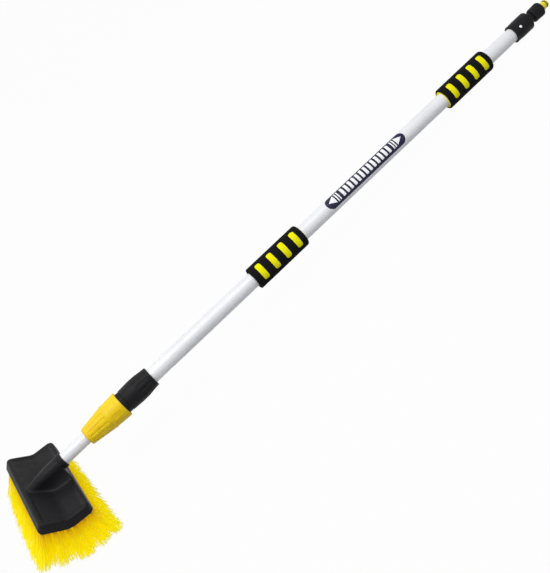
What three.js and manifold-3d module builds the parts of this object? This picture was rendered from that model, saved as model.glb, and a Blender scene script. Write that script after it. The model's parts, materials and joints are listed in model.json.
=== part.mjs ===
// Telescopic, water-fed car wash brush.
// Millimetres, +Z up. Within the pole group the axis of both tubes runs along +X, from the mouth of
// the head's socket at x = 0 to the hose end. The group is tipped and lifted at the end of this file
// so that the brush lies on the floor, with the middle of its box at the origin.

import * as THREE from "three";
import { mergeVertices, toCreasedNormals } from "three/addons/utils/BufferGeometryUtils.js";
import Module from "manifold-3d";

const wasm = await Module();
wasm.setup();

// Clearances
const seatGap = 0.3; // between pieces that are fixed together
const slideGap = 0.35; // between pieces that slide or turn in each other
const cutOverrun = 3; // how far a cut runs past the face that it opens
const rootBite = 1.5; // how far a strand or a boss reaches into what carries it

// Head
const headWidth = 207;
const frontFaceReach = 45.5; // from the valley to the front edge
const rearFaceReach = 38.5; // from the valley to the rear edge
const frontFaceRise = 42.7; // degrees, against the pole's axis
const rearFaceRise = -7.5; // degrees: the rear face drops a little towards the pole
const headDepth = 18; // from a face's top to the skirt's lower edge
const headCornerRadius = 10;
const headCornerTurns = [0, 30, 60, 90]; // degrees round each corner
const headEdgeRound = 3;
const headEdgeShares = [1, 0.6, 0.25, 0]; // places across the rounded edge, from rim to top
const headBorder = 6; // raised rim round the dished faces
const dishSlope = 4;
const dishDepth = 1.2;
const valleyRadius = 16;
const coverWall = 2.5;
const chamberHeight = 5; // water space between cover and block
const blockPlate = 7.2;
const jetStripWidth = 6.5; // at the skirt's lower edge
const jetDiameter = 2.4;
const jetCount = 7;
const jetPitch = 22;

// Socket on the head
const socketHeight = 18.4; // pole axis above the valley
const socketDiameter = 26;
const socketRimDiameter = 28;
const socketRimLength = 7;
const socketOverhang = 9; // mouth past the rear edge
const socketDepth = 34; // how far the tube goes in
const socketFlare = 6; // spread of the web's foot on each side
const webShares = [[0.12, 0.33], [0.3, 0.62], [0.62, 0.85], [1, 1]]; // flank: spread, height
const noseShares = [[0, 1], [0.72, 1], [0.86, 0.93], [0.95, 0.8], [1, 0.62]]; // place, size
const sealBoreDiameter = 17;
const sealBoreLength = 17; // past the tube's seat
const ductDiameter = 9;

// Bristles
const bristleLength = 64;
const bristleColumns = 16;
const bristleRows = 4; // on each face
const strandsPerTuft = 3;
const strandRootRadius = 0.75;
const strandTipRadius = 0.55;
const tuftRadius = 1.2;
const tuftSplay = 2.5; // degrees
const tipFlat = 0.5; // how deep the lowest bristles are cut flat where the brush lies on them
const endLean = 12; // degrees, at each end of the head
const frontLeans = [-14, -38]; // degrees from straight down, inner row to outer row
const rearLeans = [-14, 13]; // degrees, the same way
const tuftMargin = 4.6; // outer tufts to the edge of their backing
const innerTuftMargin = 3;

// Tubes
const innerTubeDiameter = 22;
const outerTubeDiameter = 28;
const outerTubeLength = 1010;
const tubeWall = 1.2;
const pistonSetBack = 118; // free bore left behind the piston, with the brush as shown

// Plug in the front end of the inner tube, with its seal in the head
const tipPlugLength = 24;
const tipFlangeThickness = 2;
const tipStubLength = 13;
const waterBoreDiameter = 11;
const tipRingSection = 2.2;

// Piston on the rear end of the inner tube
const bushSpigotLength = 20;
const bushHeadLength = 26;
const bushRingSection = 2;
const bushRingPlaces = [6, 19]; // from the head's front face
const ringPinch = 0.15; // how far a ring stands back from the wall that it seals

// Twist lock
const innerTubeShown = 50.5; // from the socket's mouth to the collar
const collarLength = 78;
const collarNoseDiameter = 32.4;
const collarMiddleDiameter = 45.2;
const collarTailDiameter = 49.2;
const collarStepShare = 0.58; // place of the step, along the collar
const collarStepHeight = 0.7;
const collarStepWidth = 3;
const collarNoseWall = 5;
const collarEdgeRound = 1.6;
const collarConeLength = 31;
const collarConeMouthDiameter = 25.4;
const collarConeTailDiameter = 29.2;
const collarThreadDiameter = 33.9;
const collarThreadLength = 25;
const collarGrooveCount = 12;
const collarGrooveWidth = 2;
const collarGrooveDepth = 0.9;
const collarGrooveShares = [0.09, 0.55]; // ends of the grooves, along the collar
const collarPocketCount = 6;
const collarPocketWidth = 6;
const collarPocketDepth = 0.7;
const collarPocketShares = [0.68, 0.9];
const neckDiameter = 39.6;
const neckShown = 7.3;
const spigotBoreDiameter = 27;
const spigotSetBack = 2.5; // spigot's front face behind the collar's cone
const colletRingWidth = 3; // whole ring between the slots and the tail
const colletTailLength = 19;
const colletSlotCount = 6;
const colletSlotWidth = 2;
const barrelLength = 58.7;
const barrelDiameters = [41.2, 43.4, 43, 39.6, 38];
const barrelShares = [0, 0.38, 0.6, 0.83, 1]; // places of those diameters
const barrelEdgeRound = 1.5;
const barrelRimDish = 2; // recess in the barrel's rear face
const barrelGrooveCount = 12;
const barrelGrooveWidth = 2.4;
const barrelGrooveDepth = 0.8;
const barrelGrooveShares = [0.46, 0.92]; // ends of the grooves, along the barrel
const tubeSeatPlace = 3; // seat of the outer tube, behind the barrel's shoulder

// Foam grips
const lowerGripSetBack = 240; // from the lock body to the lower grip
const upperGripSetBack = 74; // from the upper grip to the hose end's cap
const gripLength = 118;
const gripDiameter = 43.6;
const gripEdgeRound = 3.5;
const linerThickness = 3.6;
const stripeWidth = 11.3;
const stripeArc = 96; // degrees
const stripeShares = [0.16, 0.39, 0.62, 0.85]; // middles, along the grip
const stripeTipShare = 0.88; // last facet of a stripe's round end
const stripeSink = 0.4; // stripe's face below the black foam's
const stripeFacing = 54; // degrees from the top, towards -Y

// Hose end
const capLength = 46;
const capDiameter = 37;
const capMouthDiameter = 35.2;
const capTaperLength = 16;
const capEdgeRound = 2;
const capConeLength = 8.5;
const capSeatDepth = 35; // how far the tube goes in
const capSealThickness = 2;
const stubDiameter = 20;
const rivetPlace = 16; // behind the cap's front rim
const rivetHeadDiameter = 5.8;
const rivetHeadHeight = 1.6;
const rivetHeadShares = [[1, 0], [0.8, 0.65], [0.4, 1], [0, 1]]; // outline: radius, height
const rivetShankDiameter = 3.4;
const nutPlace = 1.5; // behind the cone's small end
const nutLength = 27;
const nutMouthDiameter = 27.8;
const nutDiameter = 29.6;
const nutEndWall = 4;
const nutEdgeRound = 3;
const nutGrooveCount = 12;
const nutGrooveWidth = 1.6;
const nutGrooveDepth = 0.8;
const nutGrooveMargin = 5;
const nippleDiameter = 16.4;
const nippleNoseDiameter = 14;
const nippleFlangeThickness = 2;
const nippleLength = 17; // past the nut
const nippleBarrelLength = 7;
const nippleTaperLength = 3.5;
const nippleLipLength = 2.8;
const nippleBoreDiameter = 9;
const nippleRingSection = 2.3;
const washerThickness = 2;

const roundSides = 24;
const smallSides = 18;
const holeSides = 8;
const ringSides = 6;
const strandSides = 3;
const archSteps = 8;
const filletSteps = 2;
const creaseAngle = THREE.MathUtils.degToRad(32);
const weldDistance = 1e-4;

const degrees = THREE.MathUtils.degToRad;

// Geometry to solid, and back

function solidOf(geometry) {
  const bare = new THREE.BufferGeometry().setAttribute("position", geometry.getAttribute("position"));
  if (geometry.index) bare.setIndex(geometry.index);
  const merged = mergeVertices(bare, weldDistance);
  const corners = merged.index.array;
  const faces = [];
  for (let i = 0; i < corners.length; i += 3) {
    const [a, b, c] = corners.slice(i, i + 3);
    if (a !== b && b !== c && c !== a) faces.push(a, b, c);
  }
  const build = (list) =>
    new wasm.Manifold(
      new wasm.Mesh({
        numProp: 3,
        vertProperties: new Float32Array(merged.getAttribute("position").array),
        triVerts: new Uint32Array(list),
      }),
    );
  const solid = build(faces);
  return solid.volume() < 0 ? build(faces.reverse()) : solid;
}

function geometryOf(solid) {
  const mesh = solid.getMesh();
  const places = new Float32Array(mesh.numVert * 3);
  for (let i = 0; i < mesh.numVert; i++) {
    const start = i * mesh.numProp;
    places.set(mesh.vertProperties.subarray(start, start + 3), i * 3);
  }
  const geometry = new THREE.BufferGeometry();
  geometry.setAttribute("position", new THREE.BufferAttribute(places, 3));
  geometry.setIndex(new THREE.BufferAttribute(mesh.triVerts, 1));
  return toCreasedNormals(geometry, creaseAngle);
}

const joined = (solids) => wasm.Manifold.union(solids);
const without = (solid, cuts) => solid.subtract(joined(cuts));

// Rounds the corners of a closed outline. Each point is [x, y] or [x, y, corner radius].
function withFillets(points) {
  const corner = (i) => new THREE.Vector2(...points[(i + points.length) % points.length]);
  return points.flatMap(([x, y, radius = 0], i) => {
    const here = new THREE.Vector2(x, y);
    if (!radius) return [here];
    const back = corner(i - 1).sub(here);
    const ahead = corner(i + 1).sub(here);
    const shortest = Math.min(back.length(), ahead.length());
    back.normalize();
    ahead.normalize();
    const half = Math.acos(back.dot(ahead)) / 2;
    const reach = Math.min(radius / Math.tan(half), shortest / 2);
    const bulge = reach * Math.tan(half);
    const centre = back.clone().add(ahead).normalize().multiplyScalar(Math.hypot(reach, bulge)).add(here);
    const start = back.multiplyScalar(reach).add(here).sub(centre);
    const turn = Math.sign(start.cross(here.clone().sub(centre))) * (Math.PI - 2 * half);
    return Array.from({ length: filletSteps + 1 }, (_, k) =>
      start.clone().rotateAround(new THREE.Vector2(), (turn * k) / filletSteps).add(centre),
    );
  });
}

// Solid of revolution about the pole's axis, from a closed outline of [place along the axis, radius].
function turned(points, sides = roundSides) {
  const outline = withFillets(points).map((p) => new THREE.Vector2(p.y, p.x));
  outline.push(outline[0].clone());
  return solidOf(new THREE.LatheGeometry(outline, sides).rotateZ(-Math.PI / 2));
}

const tubeSolid = (start, end, bore, outer, sides) =>
  turned([[start, bore / 2], [end, bore / 2], [end, outer / 2], [start, outer / 2]], sides);

const rodSolid = (start, end, diameter, sides) =>
  solidOf(
    new THREE.CylinderGeometry(diameter / 2, diameter / 2, end - start, sides)
      .rotateZ(-Math.PI / 2)
      .translate((start + end) / 2, 0, 0),
  );

// O-ring about the pole's axis.
const ringSolid = (place, innerRadius, section) =>
  solidOf(
    new THREE.TorusGeometry(innerRadius + section / 2, section / 2, ringSides, smallSides)
      .rotateY(Math.PI / 2)
      .translate(place, 0, 0),
  );

// Closed skin over a row of rings that have the same number of points.
function loft(rings) {
  const count = rings[0].length;
  const faces = [];
  for (let i = 0; i < rings.length - 1; i++) {
    for (let j = 0; j < count; j++) {
      const a = i * count + j;
      const b = i * count + ((j + 1) % count);
      faces.push(a, b, b + count, a, b + count, a + count);
    }
  }
  const lastStart = (rings.length - 1) * count;
  for (const [a, b, c] of capOf(rings[0])) faces.push(c, b, a);
  for (const [a, b, c] of capOf(rings.at(-1))) faces.push(a + lastStart, b + lastStart, c + lastStart);
  const geometry = new THREE.BufferGeometry().setFromPoints(rings.flat());
  geometry.setIndex(faces);
  return solidOf(geometry);
}

// Triangles that close a flat ring, in the ring's own direction of turn.
function capOf(ring) {
  const normal = new THREE.Vector3();
  ring.forEach((p, i) => normal.add(p.clone().cross(ring[(i + 1) % ring.length])));
  const across = ring[1].clone().sub(ring[0]).normalize();
  const up = normal.normalize().clone().cross(across);
  const flat = ring.map((p) => new THREE.Vector2(p.dot(across), p.dot(up)));
  return THREE.ShapeUtils.triangulateShape(flat, []);
}

// Copies of a cut set evenly round the pole's axis.
const roundAxis = (solid, count) =>
  Array.from({ length: count }, (_, k) => solid.rotate([(360 * k) / count, 0, 0]));

// Cut for a lengthwise groove whose floor follows a straight line along a turned surface.
function grooveCut(places, radii, width, depth) {
  const ring = (x, radius) => {
    const floor = radius - depth;
    const mouth = radius + depth;
    return [[x, 0, floor], [x, width, mouth], [x, -width, mouth]].map((p) => new THREE.Vector3(...p));
  };
  const [start, end] = places;
  const [startRadius, endRadius] = radii;
  const runOut = width / 2; // the floor rises to the surface at both ends
  const slope = (endRadius - startRadius) / (end - start);
  return loft([
    ring(start - runOut, startRadius + depth - slope * runOut),
    ring(start, startRadius),
    ring(end, endRadius),
    ring(end + runOut, endRadius + depth + slope * runOut),
  ]);
}

// Head: places on its two faces

const valley = new THREE.Vector2(
  -socketOverhang - rearFaceReach * Math.cos(degrees(rearFaceRise)),
  -socketHeight,
);
const faceOf = (rise, reach, side) => ({
  along: new THREE.Vector2(side * Math.cos(rise), Math.sin(rise)),
  down: new THREE.Vector2(side * Math.sin(rise), -Math.cos(rise)),
  reach,
});
const frontFace = faceOf(degrees(frontFaceRise), frontFaceReach, -1);
const rearFace = faceOf(degrees(rearFaceRise), rearFaceReach, 1);
const valleyDown = frontFace.down.clone().add(rearFace.down).normalize();
const halfBend = Math.acos(valleyDown.dot(rearFace.down));

const onFace = (face, reach, depth) =>
  valley.clone().addScaledVector(face.along, reach).addScaledVector(face.down, depth);
const inValley = (depth) => valley.clone().addScaledVector(valleyDown, depth / Math.cos(halfBend));
const ringAt = (y, points) => points.map((p) => new THREE.Vector3(p.x, y, p.y));

// Places across the head where a plate with round corners changes width, from end to end.
function stations(halfWidth, cornerRadius) {
  const half = headCornerTurns.map((turn) => {
    const inset = cornerRadius * (1 - Math.cos(degrees(turn)));
    return { y: halfWidth - cornerRadius * (1 - Math.sin(degrees(turn))), inset };
  });
  return [...half.map(({ y, inset }) => ({ y: -y, inset })).reverse(), ...half];
}

// Section through a bent plate, between two depths below the tops of the faces.
const bentSection = (y, front, rear, top, bottom) =>
  ringAt(y, [
    onFace(frontFace, front, top), inValley(top), onFace(rearFace, rear, top),
    onFace(rearFace, rear, bottom), inValley(bottom), onFace(frontFace, front, bottom),
  ]);

// Bent plate under both faces, set in from the head's outline on all sides.
function bentPlate(sideInset, top, bottom) {
  const rings = stations(headWidth / 2 - sideInset, headCornerRadius - sideInset).map(({ y, inset }) => {
    const setIn = sideInset + inset;
    return bentSection(y, frontFaceReach - setIn, rearFaceReach - setIn, top, bottom);
  });
  return loft(rings);
}

// Outside of the head: round edges, a raised border, and a shallow dish on each face.
function headSkin() {
  const filletReach = valleyRadius * Math.tan(halfBend);
  const filletRise = valleyRadius * (1 / Math.cos(halfBend) - 1);
  const rings = stations(headWidth / 2, headCornerRadius).map(({ y, inset }) => {
    const fromEnd = headWidth / 2 - Math.abs(y);
    const endDrop = edgeDrop(fromEnd);
    const dish = dishDepth * THREE.MathUtils.clamp((fromEnd - headBorder) / dishSlope, 0, 1);
    const depth = (value) => Math.max(value, endDrop);
    const half = (face) => {
      const edge = face.reach - inset;
      const brow = headEdgeShares.map((share) => {
        const fromRim = headEdgeRound * (1 - share);
        return onFace(face, edge - fromRim, depth(edgeDrop(fromRim)));
      });
      return [
        onFace(face, edge, headDepth),
        ...brow,
        onFace(face, edge - headBorder, depth(0)),
        onFace(face, edge - headBorder - dishSlope, depth(dish)),
        onFace(face, filletReach, depth(dish)),
      ];
    };
    return ringAt(y, [
      ...half(frontFace),
      inValley(depth(dish) - filletRise * Math.cos(halfBend)),
      ...half(rearFace).reverse(),
      inValley(headDepth),
    ]);
  });
  return loft(rings);
}

// Fall of a rounded edge at a distance from the rim.
function edgeDrop(fromRim) {
  const inside = THREE.MathUtils.clamp(headEdgeRound - fromRim, 0, headEdgeRound);
  return headEdgeRound - Math.sqrt(headEdgeRound ** 2 - inside ** 2);
}

// Round-topped socket on a web whose flanks flare into the faces and whose nose runs into the front face.
function socketBoss() {
  const start = valley.x + rearFace.along.x * rearFaceReach - headEdgeRound;
  const end = valley.x + frontFace.along.x * (frontFaceReach - headBorder);
  const foot = socketHeight + coverWall;
  const archTurns = Array.from({ length: archSteps + 1 }, (_, k) => Math.PI * (1 - k / archSteps));
  const rings = noseShares.map(([place, size]) => {
    const x = THREE.MathUtils.lerp(start, end, place);
    const radius = (socketDiameter / 2) * size;
    const flank = (side) => [
      ...webShares.map(([spread, height]) => [radius + socketFlare * spread, foot * height]),
      [radius + socketFlare, foot + rootBite],
    ].map(([y, fall]) => new THREE.Vector3(x, side * y, -fall));
    const arch = archTurns.map(
      (turn) => new THREE.Vector3(x, radius * Math.cos(turn), radius * Math.sin(turn)),
    );
    return [...flank(-1).reverse(), ...arch, ...flank(1)];
  });
  const rim = turned([
    [-socketRimLength, 0],
    [0, 0],
    [0, socketRimDiameter / 2, headEdgeRound / 2],
    [-socketRimLength, socketRimDiameter / 2, headEdgeRound / 2],
  ]);
  const collarRoot = rodSolid(start - rootBite, 0, socketDiameter, roundSides);
  return joined([loft(rings), rim, collarRoot]);
}

function headCover() {
  const chamber = bentPlate(coverWall, coverWall, headDepth + 2 * socketHeight); // clears the web too
  const tubeBore = rodSolid(-socketDepth, cutOverrun, innerTubeDiameter + 2 * seatGap, roundSides);
  const sealBore = rodSolid(
    -socketDepth - sealBoreLength, -socketDepth + cutOverrun, sealBoreDiameter, smallSides,
  );
  const duct = solidOf(
    new THREE.CylinderGeometry(ductDiameter / 2, ductDiameter / 2, socketHeight + 2 * coverWall, holeSides)
      .rotateX(Math.PI / 2)
      .translate(valley.x, 0, -socketHeight / 2 - coverWall),
  );
  return without(headSkin().add(socketBoss()), [chamber, tubeBore, sealBore, duct]);
}

// Lower plate of the head: a bent plate with a strip along the valley that holds the water jets.
const blockTop = coverWall + chamberHeight;
const blockBottom = blockTop + blockPlate;
const blockInset = coverWall + seatGap;
const stripReach = jetStripWidth / 2 - headDepth * Math.tan(halfBend);

function brushBlock() {
  const strip = loft(
    [-1, 1].map((side) => {
      const y = side * (headWidth / 2 - blockInset);
      return bentSection(y, stripReach, stripReach, blockBottom - rootBite, headDepth);
    }),
  );
  const jets = Array.from({ length: jetCount }, (_, k) =>
    solidOf(
      new THREE.CylinderGeometry(jetDiameter / 2, jetDiameter / 2, 2 * headDepth, holeSides)
        .rotateX(Math.PI / 2)
        .translate(valley.x, (k - (jetCount - 1) / 2) * jetPitch, valley.y - headDepth),
    ),
  );
  return without(bentPlate(blockInset, blockTop, blockBottom).add(strip), jets);
}

// Bristles of one face: rows of splayed tufts on the slice of backing that holds them.
function bristles(face, leans) {
  const top = blockBottom + seatGap;
  const inner = stripReach + seatGap;
  const outer = face.reach - blockInset;
  const halfLength = headWidth / 2 - blockInset;
  const slice = loft(
    stations(halfLength, headCornerRadius - blockInset).map(({ y, inset }) =>
      ringAt(y, [
        onFace(face, inner, top), onFace(face, outer - inset, top),
        onFace(face, outer - inset, headDepth), onFace(face, inner, headDepth),
      ]),
    ),
  );
  const [innerLean, outerLean] = leans;
  const share = (k, count) => k / (count - 1);
  const strands = [];
  for (let row = 0; row < bristleRows; row++) {
    const lean = degrees(THREE.MathUtils.lerp(innerLean, outerLean, share(row, bristleRows)));
    const reach = THREE.MathUtils.lerp(inner + innerTuftMargin, outer - tuftMargin, share(row, bristleRows));
    for (let column = 0; column < bristleColumns; column++) {
      const place = 2 * share(column, bristleColumns) - 1;
      const tilt = degrees(endLean * place);
      const down = new THREE.Vector3(
        Math.sin(lean) * Math.cos(tilt), Math.sin(tilt), -Math.cos(lean) * Math.cos(tilt),
      );
      const root = onFace(face, reach, headDepth - rootBite);
      const middle = new THREE.Vector3(root.x, place * (halfLength - tuftMargin), root.y);
      strands.push(...tuft(middle, down, row + column));
    }
  }
  return joined([slice, ...strands]);
}

function tuft(middle, down, step) {
  const turnTo = new THREE.Quaternion().setFromUnitVectors(new THREE.Vector3(0, -1, 0), down);
  const section = (radius, fall) =>
    Array.from({ length: strandSides }, (_, k) => {
      const turn = (2 * Math.PI * k) / strandSides;
      return new THREE.Vector3(radius * Math.cos(turn), -fall, radius * Math.sin(turn));
    });
  const axis = new THREE.Vector3(0, 0, 1);
  const upright = new THREE.Vector3(0, 1, 0);
  return Array.from({ length: strandsPerTuft }, (_, k) => {
    const turn = (2 * Math.PI * k) / strandsPerTuft + step;
    const place = (p) => {
      p.applyAxisAngle(axis, degrees(tuftSplay)).setX(p.x + tuftRadius);
      return p.applyAxisAngle(upright, turn).applyQuaternion(turnTo).add(middle);
    };
    const length = bristleLength + rootBite;
    const rings = [section(strandRootRadius, 0), section(strandTipRadius, length)];
    return loft(rings.map((ring) => ring.map(place)));
  });
}

// Tubes and what they carry at their ends

const innerTubeFront = -socketDepth + seatGap;
const innerBore = innerTubeDiameter - 2 * tubeWall;
const outerBore = outerTubeDiameter - 2 * tubeWall;
const shoulderPlace = innerTubeShown + collarLength + neckShown;
const barrelEnd = shoulderPlace + barrelLength;
const outerTubeFront = shoulderPlace + tubeSeatPlace + seatGap;
const outerTubeRear = outerTubeFront + outerTubeLength;
const bushFront = outerTubeRear - pistonSetBack - bushHeadLength;
const innerTubeRear = bushFront - seatGap;
const capSeat = outerTubeRear + 2 * seatGap + capSealThickness;
const capPlace = capSeat - capSeatDepth;
const capEnd = capPlace + capLength;
const coneTip = capEnd + capConeLength;

function innerTube() {
  return tubeSolid(innerTubeFront, innerTubeRear, innerBore, innerTubeDiameter);
}

// Rivets hold the cap on the outer tube, so both have their holes.
const rivetHole = () => rivetRod(rivetShankDiameter + 2 * seatGap, 0, capDiameter);

function outerTube() {
  const tube = tubeSolid(outerTubeFront, outerTubeRear, outerBore, outerTubeDiameter);
  return without(tube, roundAxis(rivetHole(), 2));
}

function tipInsert() {
  const plug = innerBore / 2 - seatGap;
  const seat = innerTubeFront - seatGap;
  const stub = sealBoreDiameter / 2 - seatGap;
  const groove = stub - tipRingSection + ringPinch;
  const end = seat - tipStubLength;
  const grooveEnd = end + tipFlangeThickness;
  const grooveStart = grooveEnd + tipRingSection + 2 * seatGap;
  return turned([
    [end, waterBoreDiameter / 2],
    [seat + tipPlugLength, waterBoreDiameter / 2],
    [seat + tipPlugLength, plug, tubeWall],
    [innerTubeFront, plug],
    [innerTubeFront, stub],
    [grooveStart, stub],
    [grooveStart, groove],
    [grooveEnd, groove],
    [grooveEnd, stub],
    [end, stub],
  ], smallSides);
}

function tipRing() {
  const stub = sealBoreDiameter / 2 - seatGap;
  const end = innerTubeFront - seatGap - tipStubLength;
  const place = end + tipFlangeThickness + seatGap + tipRingSection / 2;
  return ringSolid(place, stub - tipRingSection + ringPinch + seatGap / 2, tipRingSection - seatGap);
}

const bushRadius = outerBore / 2 - slideGap;
const bushGrooveRadius = bushRadius - bushRingSection + seatGap;

function guideBush() {
  const spigot = innerBore / 2 - seatGap;
  const grooves = [...bushRingPlaces].reverse().flatMap((place) => {
    const middle = bushFront + place;
    const half = bushRingSection / 2 + seatGap;
    return [
      [middle + half, bushRadius], [middle + half, bushGrooveRadius],
      [middle - half, bushGrooveRadius], [middle - half, bushRadius],
    ];
  });
  return turned([
    [bushFront - bushSpigotLength, waterBoreDiameter / 2],
    [bushFront + bushHeadLength, waterBoreDiameter / 2],
    [bushFront + bushHeadLength, bushRadius, tubeWall],
    ...grooves,
    [bushFront, bushRadius, tubeWall],
    [bushFront, spigot],
    [bushFront - bushSpigotLength, spigot, tubeWall],
  ], smallSides);
}

const guideRing = (index) =>
  ringSolid(
    bushFront + bushRingPlaces[index],
    bushGrooveRadius + ringPinch,
    outerBore / 2 - ringPinch - (bushGrooveRadius + ringPinch),
  );

// Twist lock: collar, body and the split sleeve between them

const collarStart = innerTubeShown;
const collarStepPlace = collarLength * collarStepShare;
const coneStart = collarStart + collarNoseWall;
const coneEnd = coneStart + collarConeLength;
const threadEnd = coneEnd + collarThreadLength;

function collarRadius(place) {
  const nose = collarNoseDiameter / 2;
  const middle = collarMiddleDiameter / 2;
  return THREE.MathUtils.lerp(nose, middle, place / collarStepPlace);
}

function lockCollar() {
  const at = (place) => collarStart + place;
  const middle = collarMiddleDiameter / 2;
  const end = collarStart + collarLength;
  const body = turned([
    [at(0), innerTubeDiameter / 2 + slideGap],
    [coneStart, innerTubeDiameter / 2 + slideGap],
    [coneStart, collarConeMouthDiameter / 2],
    [coneEnd, collarConeTailDiameter / 2],
    [coneEnd, collarThreadDiameter / 2],
    [threadEnd, collarThreadDiameter / 2],
    [threadEnd, neckDiameter / 2 + slideGap],
    [end, neckDiameter / 2 + slideGap],
    [end, collarTailDiameter / 2, collarEdgeRound],
    [at(collarStepPlace + collarStepWidth), middle],
    [at(collarStepPlace + collarStepWidth), middle + collarStepHeight],
    [at(collarStepPlace), middle + collarStepHeight],
    [at(collarStepPlace), middle],
    [at(0), collarNoseDiameter / 2, collarEdgeRound],
  ]);
  const grooveEnds = collarGrooveShares.map((share) => collarLength * share);
  const grooves = roundAxis(
    grooveCut(grooveEnds.map(at), grooveEnds.map(collarRadius), collarGrooveWidth, collarGrooveDepth),
    collarGrooveCount,
  );
  const tail = (place) =>
    THREE.MathUtils.mapLinear(
      place, collarStepPlace + collarStepWidth, collarLength, middle, collarTailDiameter / 2,
    );
  const pocketEnds = collarPocketShares.map((share) => collarLength * share);
  const pockets = roundAxis(
    grooveCut(pocketEnds.map(at), pocketEnds.map(tail), collarPocketWidth, collarPocketDepth),
    collarPocketCount,
  );
  return without(body, [...grooves, ...pockets]);
}

const spigotFront = coneEnd + spigotSetBack;
const spigotRadius = collarThreadDiameter / 2 - slideGap;
const colletBore = innerTubeDiameter / 2 + seatGap;
const colletTailEnd = spigotFront + colletTailLength;

function lockBody() {
  const tubeSeat = shoulderPlace + tubeSeatPlace;
  const neck = neckDiameter / 2;
  const neckFront = threadEnd + seatGap + slideGap;
  const barrel = barrelShares.map((share, i) => [
    shoulderPlace + barrelLength * share,
    barrelDiameters[i] / 2,
    i === 0 || i === barrelShares.length - 1 ? barrelEdgeRound : 0,
  ]);
  const rimRadius = (outerTubeDiameter / 2 + seatGap + barrelDiameters.at(-1) / 2) / 2;
  const solid = turned([
    [spigotFront, spigotBoreDiameter / 2],
    [colletTailEnd + seatGap, spigotBoreDiameter / 2],
    [colletTailEnd + seatGap, innerTubeDiameter / 2 + slideGap],
    [tubeSeat, innerTubeDiameter / 2 + slideGap],
    [tubeSeat, outerTubeDiameter / 2 + seatGap],
    [barrelEnd - barrelRimDish, outerTubeDiameter / 2 + seatGap],
    [barrelEnd, rimRadius],
    ...barrel.reverse(),
    [shoulderPlace, neck],
    [neckFront, neck],
    [neckFront, spigotRadius],
    [spigotFront, spigotRadius],
  ]);
  const radiusAt = (share) => {
    const next = barrelShares.findIndex((value) => value >= share);
    const [before, after] = [barrelDiameters[next - 1] / 2, barrelDiameters[next] / 2];
    return THREE.MathUtils.mapLinear(share, barrelShares[next - 1], barrelShares[next], before, after);
  };
  const grooves = roundAxis(
    grooveCut(
      barrelGrooveShares.map((share) => shoulderPlace + barrelLength * share),
      barrelGrooveShares.map(radiusAt),
      barrelGrooveWidth,
      barrelGrooveDepth,
    ),
    barrelGrooveCount,
  );
  return without(solid, grooves);
}

// Split from its thin end, so its ring and its tail stay whole.
function lockCollet() {
  const coneFront = coneStart + seatGap + slideGap;
  const ringEnd = spigotFront - seatGap;
  const ringStart = ringEnd - colletRingWidth;
  const ringRadius = collarConeTailDiameter / 2 - slideGap;
  const tailRadius = spigotBoreDiameter / 2 - seatGap;
  const sleeve = turned([
    [coneFront, colletBore],
    [colletTailEnd, colletBore],
    [colletTailEnd, tailRadius],
    [ringEnd, tailRadius],
    [ringEnd, ringRadius],
    [ringStart, ringRadius],
    [coneFront, collarConeMouthDiameter / 2 - slideGap],
  ]);
  const slot = solidOf(
    new THREE.BoxGeometry(ringStart - coneFront + cutOverrun, colletSlotWidth, collarConeTailDiameter)
      .translate((ringStart + coneFront - cutOverrun) / 2, 0, collarConeTailDiameter / 2),
  );
  return without(sleeve, roundAxis(slot, colletSlotCount));
}

// Foam grips: a black sleeve with slots, over a yellow liner whose pads fill them

const gripPlaces = [barrelEnd + lowerGripSetBack, capPlace - upperGripSetBack - gripLength];
const linerRadius = outerTubeDiameter / 2 + seatGap + linerThickness;

// Band with round ends that wraps part of the way round the axis.
function wrappedPad(place, width, arc, innerRadius, outerRadius) {
  const half = degrees(arc) / 2;
  const endArc = width / 2 / outerRadius;
  const step = (2 * Math.PI) / roundSides; // so that the band's facets match those of the grip
  const steps = Math.floor((half - endArc) / step);
  const turns = Array.from({ length: 2 * steps + 1 }, (_, k) => (k - steps) * step);
  const tip = half - endArc * (1 - stripeTipShare);
  const rings = [-tip, ...turns, tip].map((turn) => {
    const past = Math.max(0, Math.abs(turn) - (half - endArc)) / endArc;
    const halfWidth = (width / 2) * Math.sqrt(Math.max(0, 1 - past ** 2));
    return [
      [-halfWidth, innerRadius], [halfWidth, innerRadius],
      [halfWidth, outerRadius], [-halfWidth, outerRadius],
    ].map(([x, r]) => new THREE.Vector3(place + x, -r * Math.sin(turn), r * Math.cos(turn)));
  });
  return loft(rings);
}

// The stripes of one grip, on the side that faces up and on the side under it.
function stripes(start, clearance, innerRadius, outerRadius) {
  const clearanceArc = THREE.MathUtils.radToDeg(clearance / (gripDiameter / 2));
  return stripeShares.flatMap((share) => {
    const pad = wrappedPad(
      start + gripLength * share, stripeWidth + 2 * clearance, stripeArc + 2 * clearanceArc,
      innerRadius, outerRadius,
    );
    return roundAxis(pad, 2);
  });
}

function gripSleeve(start) {
  const sleeve = turned([
    [start, linerRadius + seatGap],
    [start + gripLength, linerRadius + seatGap],
    [start + gripLength, gripDiameter / 2, gripEdgeRound],
    [start, gripDiameter / 2, gripEdgeRound],
  ]);
  const slots = stripes(start, seatGap, linerRadius - seatGap, gripDiameter / 2 + cutOverrun);
  return without(sleeve, slots).rotate([stripeFacing, 0, 0]);
}

function gripLiner(start) {
  const liner = tubeSolid(start, start + gripLength, outerTubeDiameter + 2 * seatGap, 2 * linerRadius);
  const padRoot = linerRadius - linerThickness / 2;
  const pads = stripes(start, 0, padRoot, gripDiameter / 2 - stripeSink);
  return joined([liner, ...pads]).rotate([stripeFacing, 0, 0]);
}

// Hose end

const nutStart = coneTip + nutPlace;
const nutEnd = nutStart + nutLength;
const flangeEnd = nutEnd - nutEndWall - seatGap;
const flangeStart = flangeEnd - nippleFlangeThickness;
const washerStart = flangeStart - seatGap - washerThickness;
const stubEnd = washerStart - seatGap;

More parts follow.
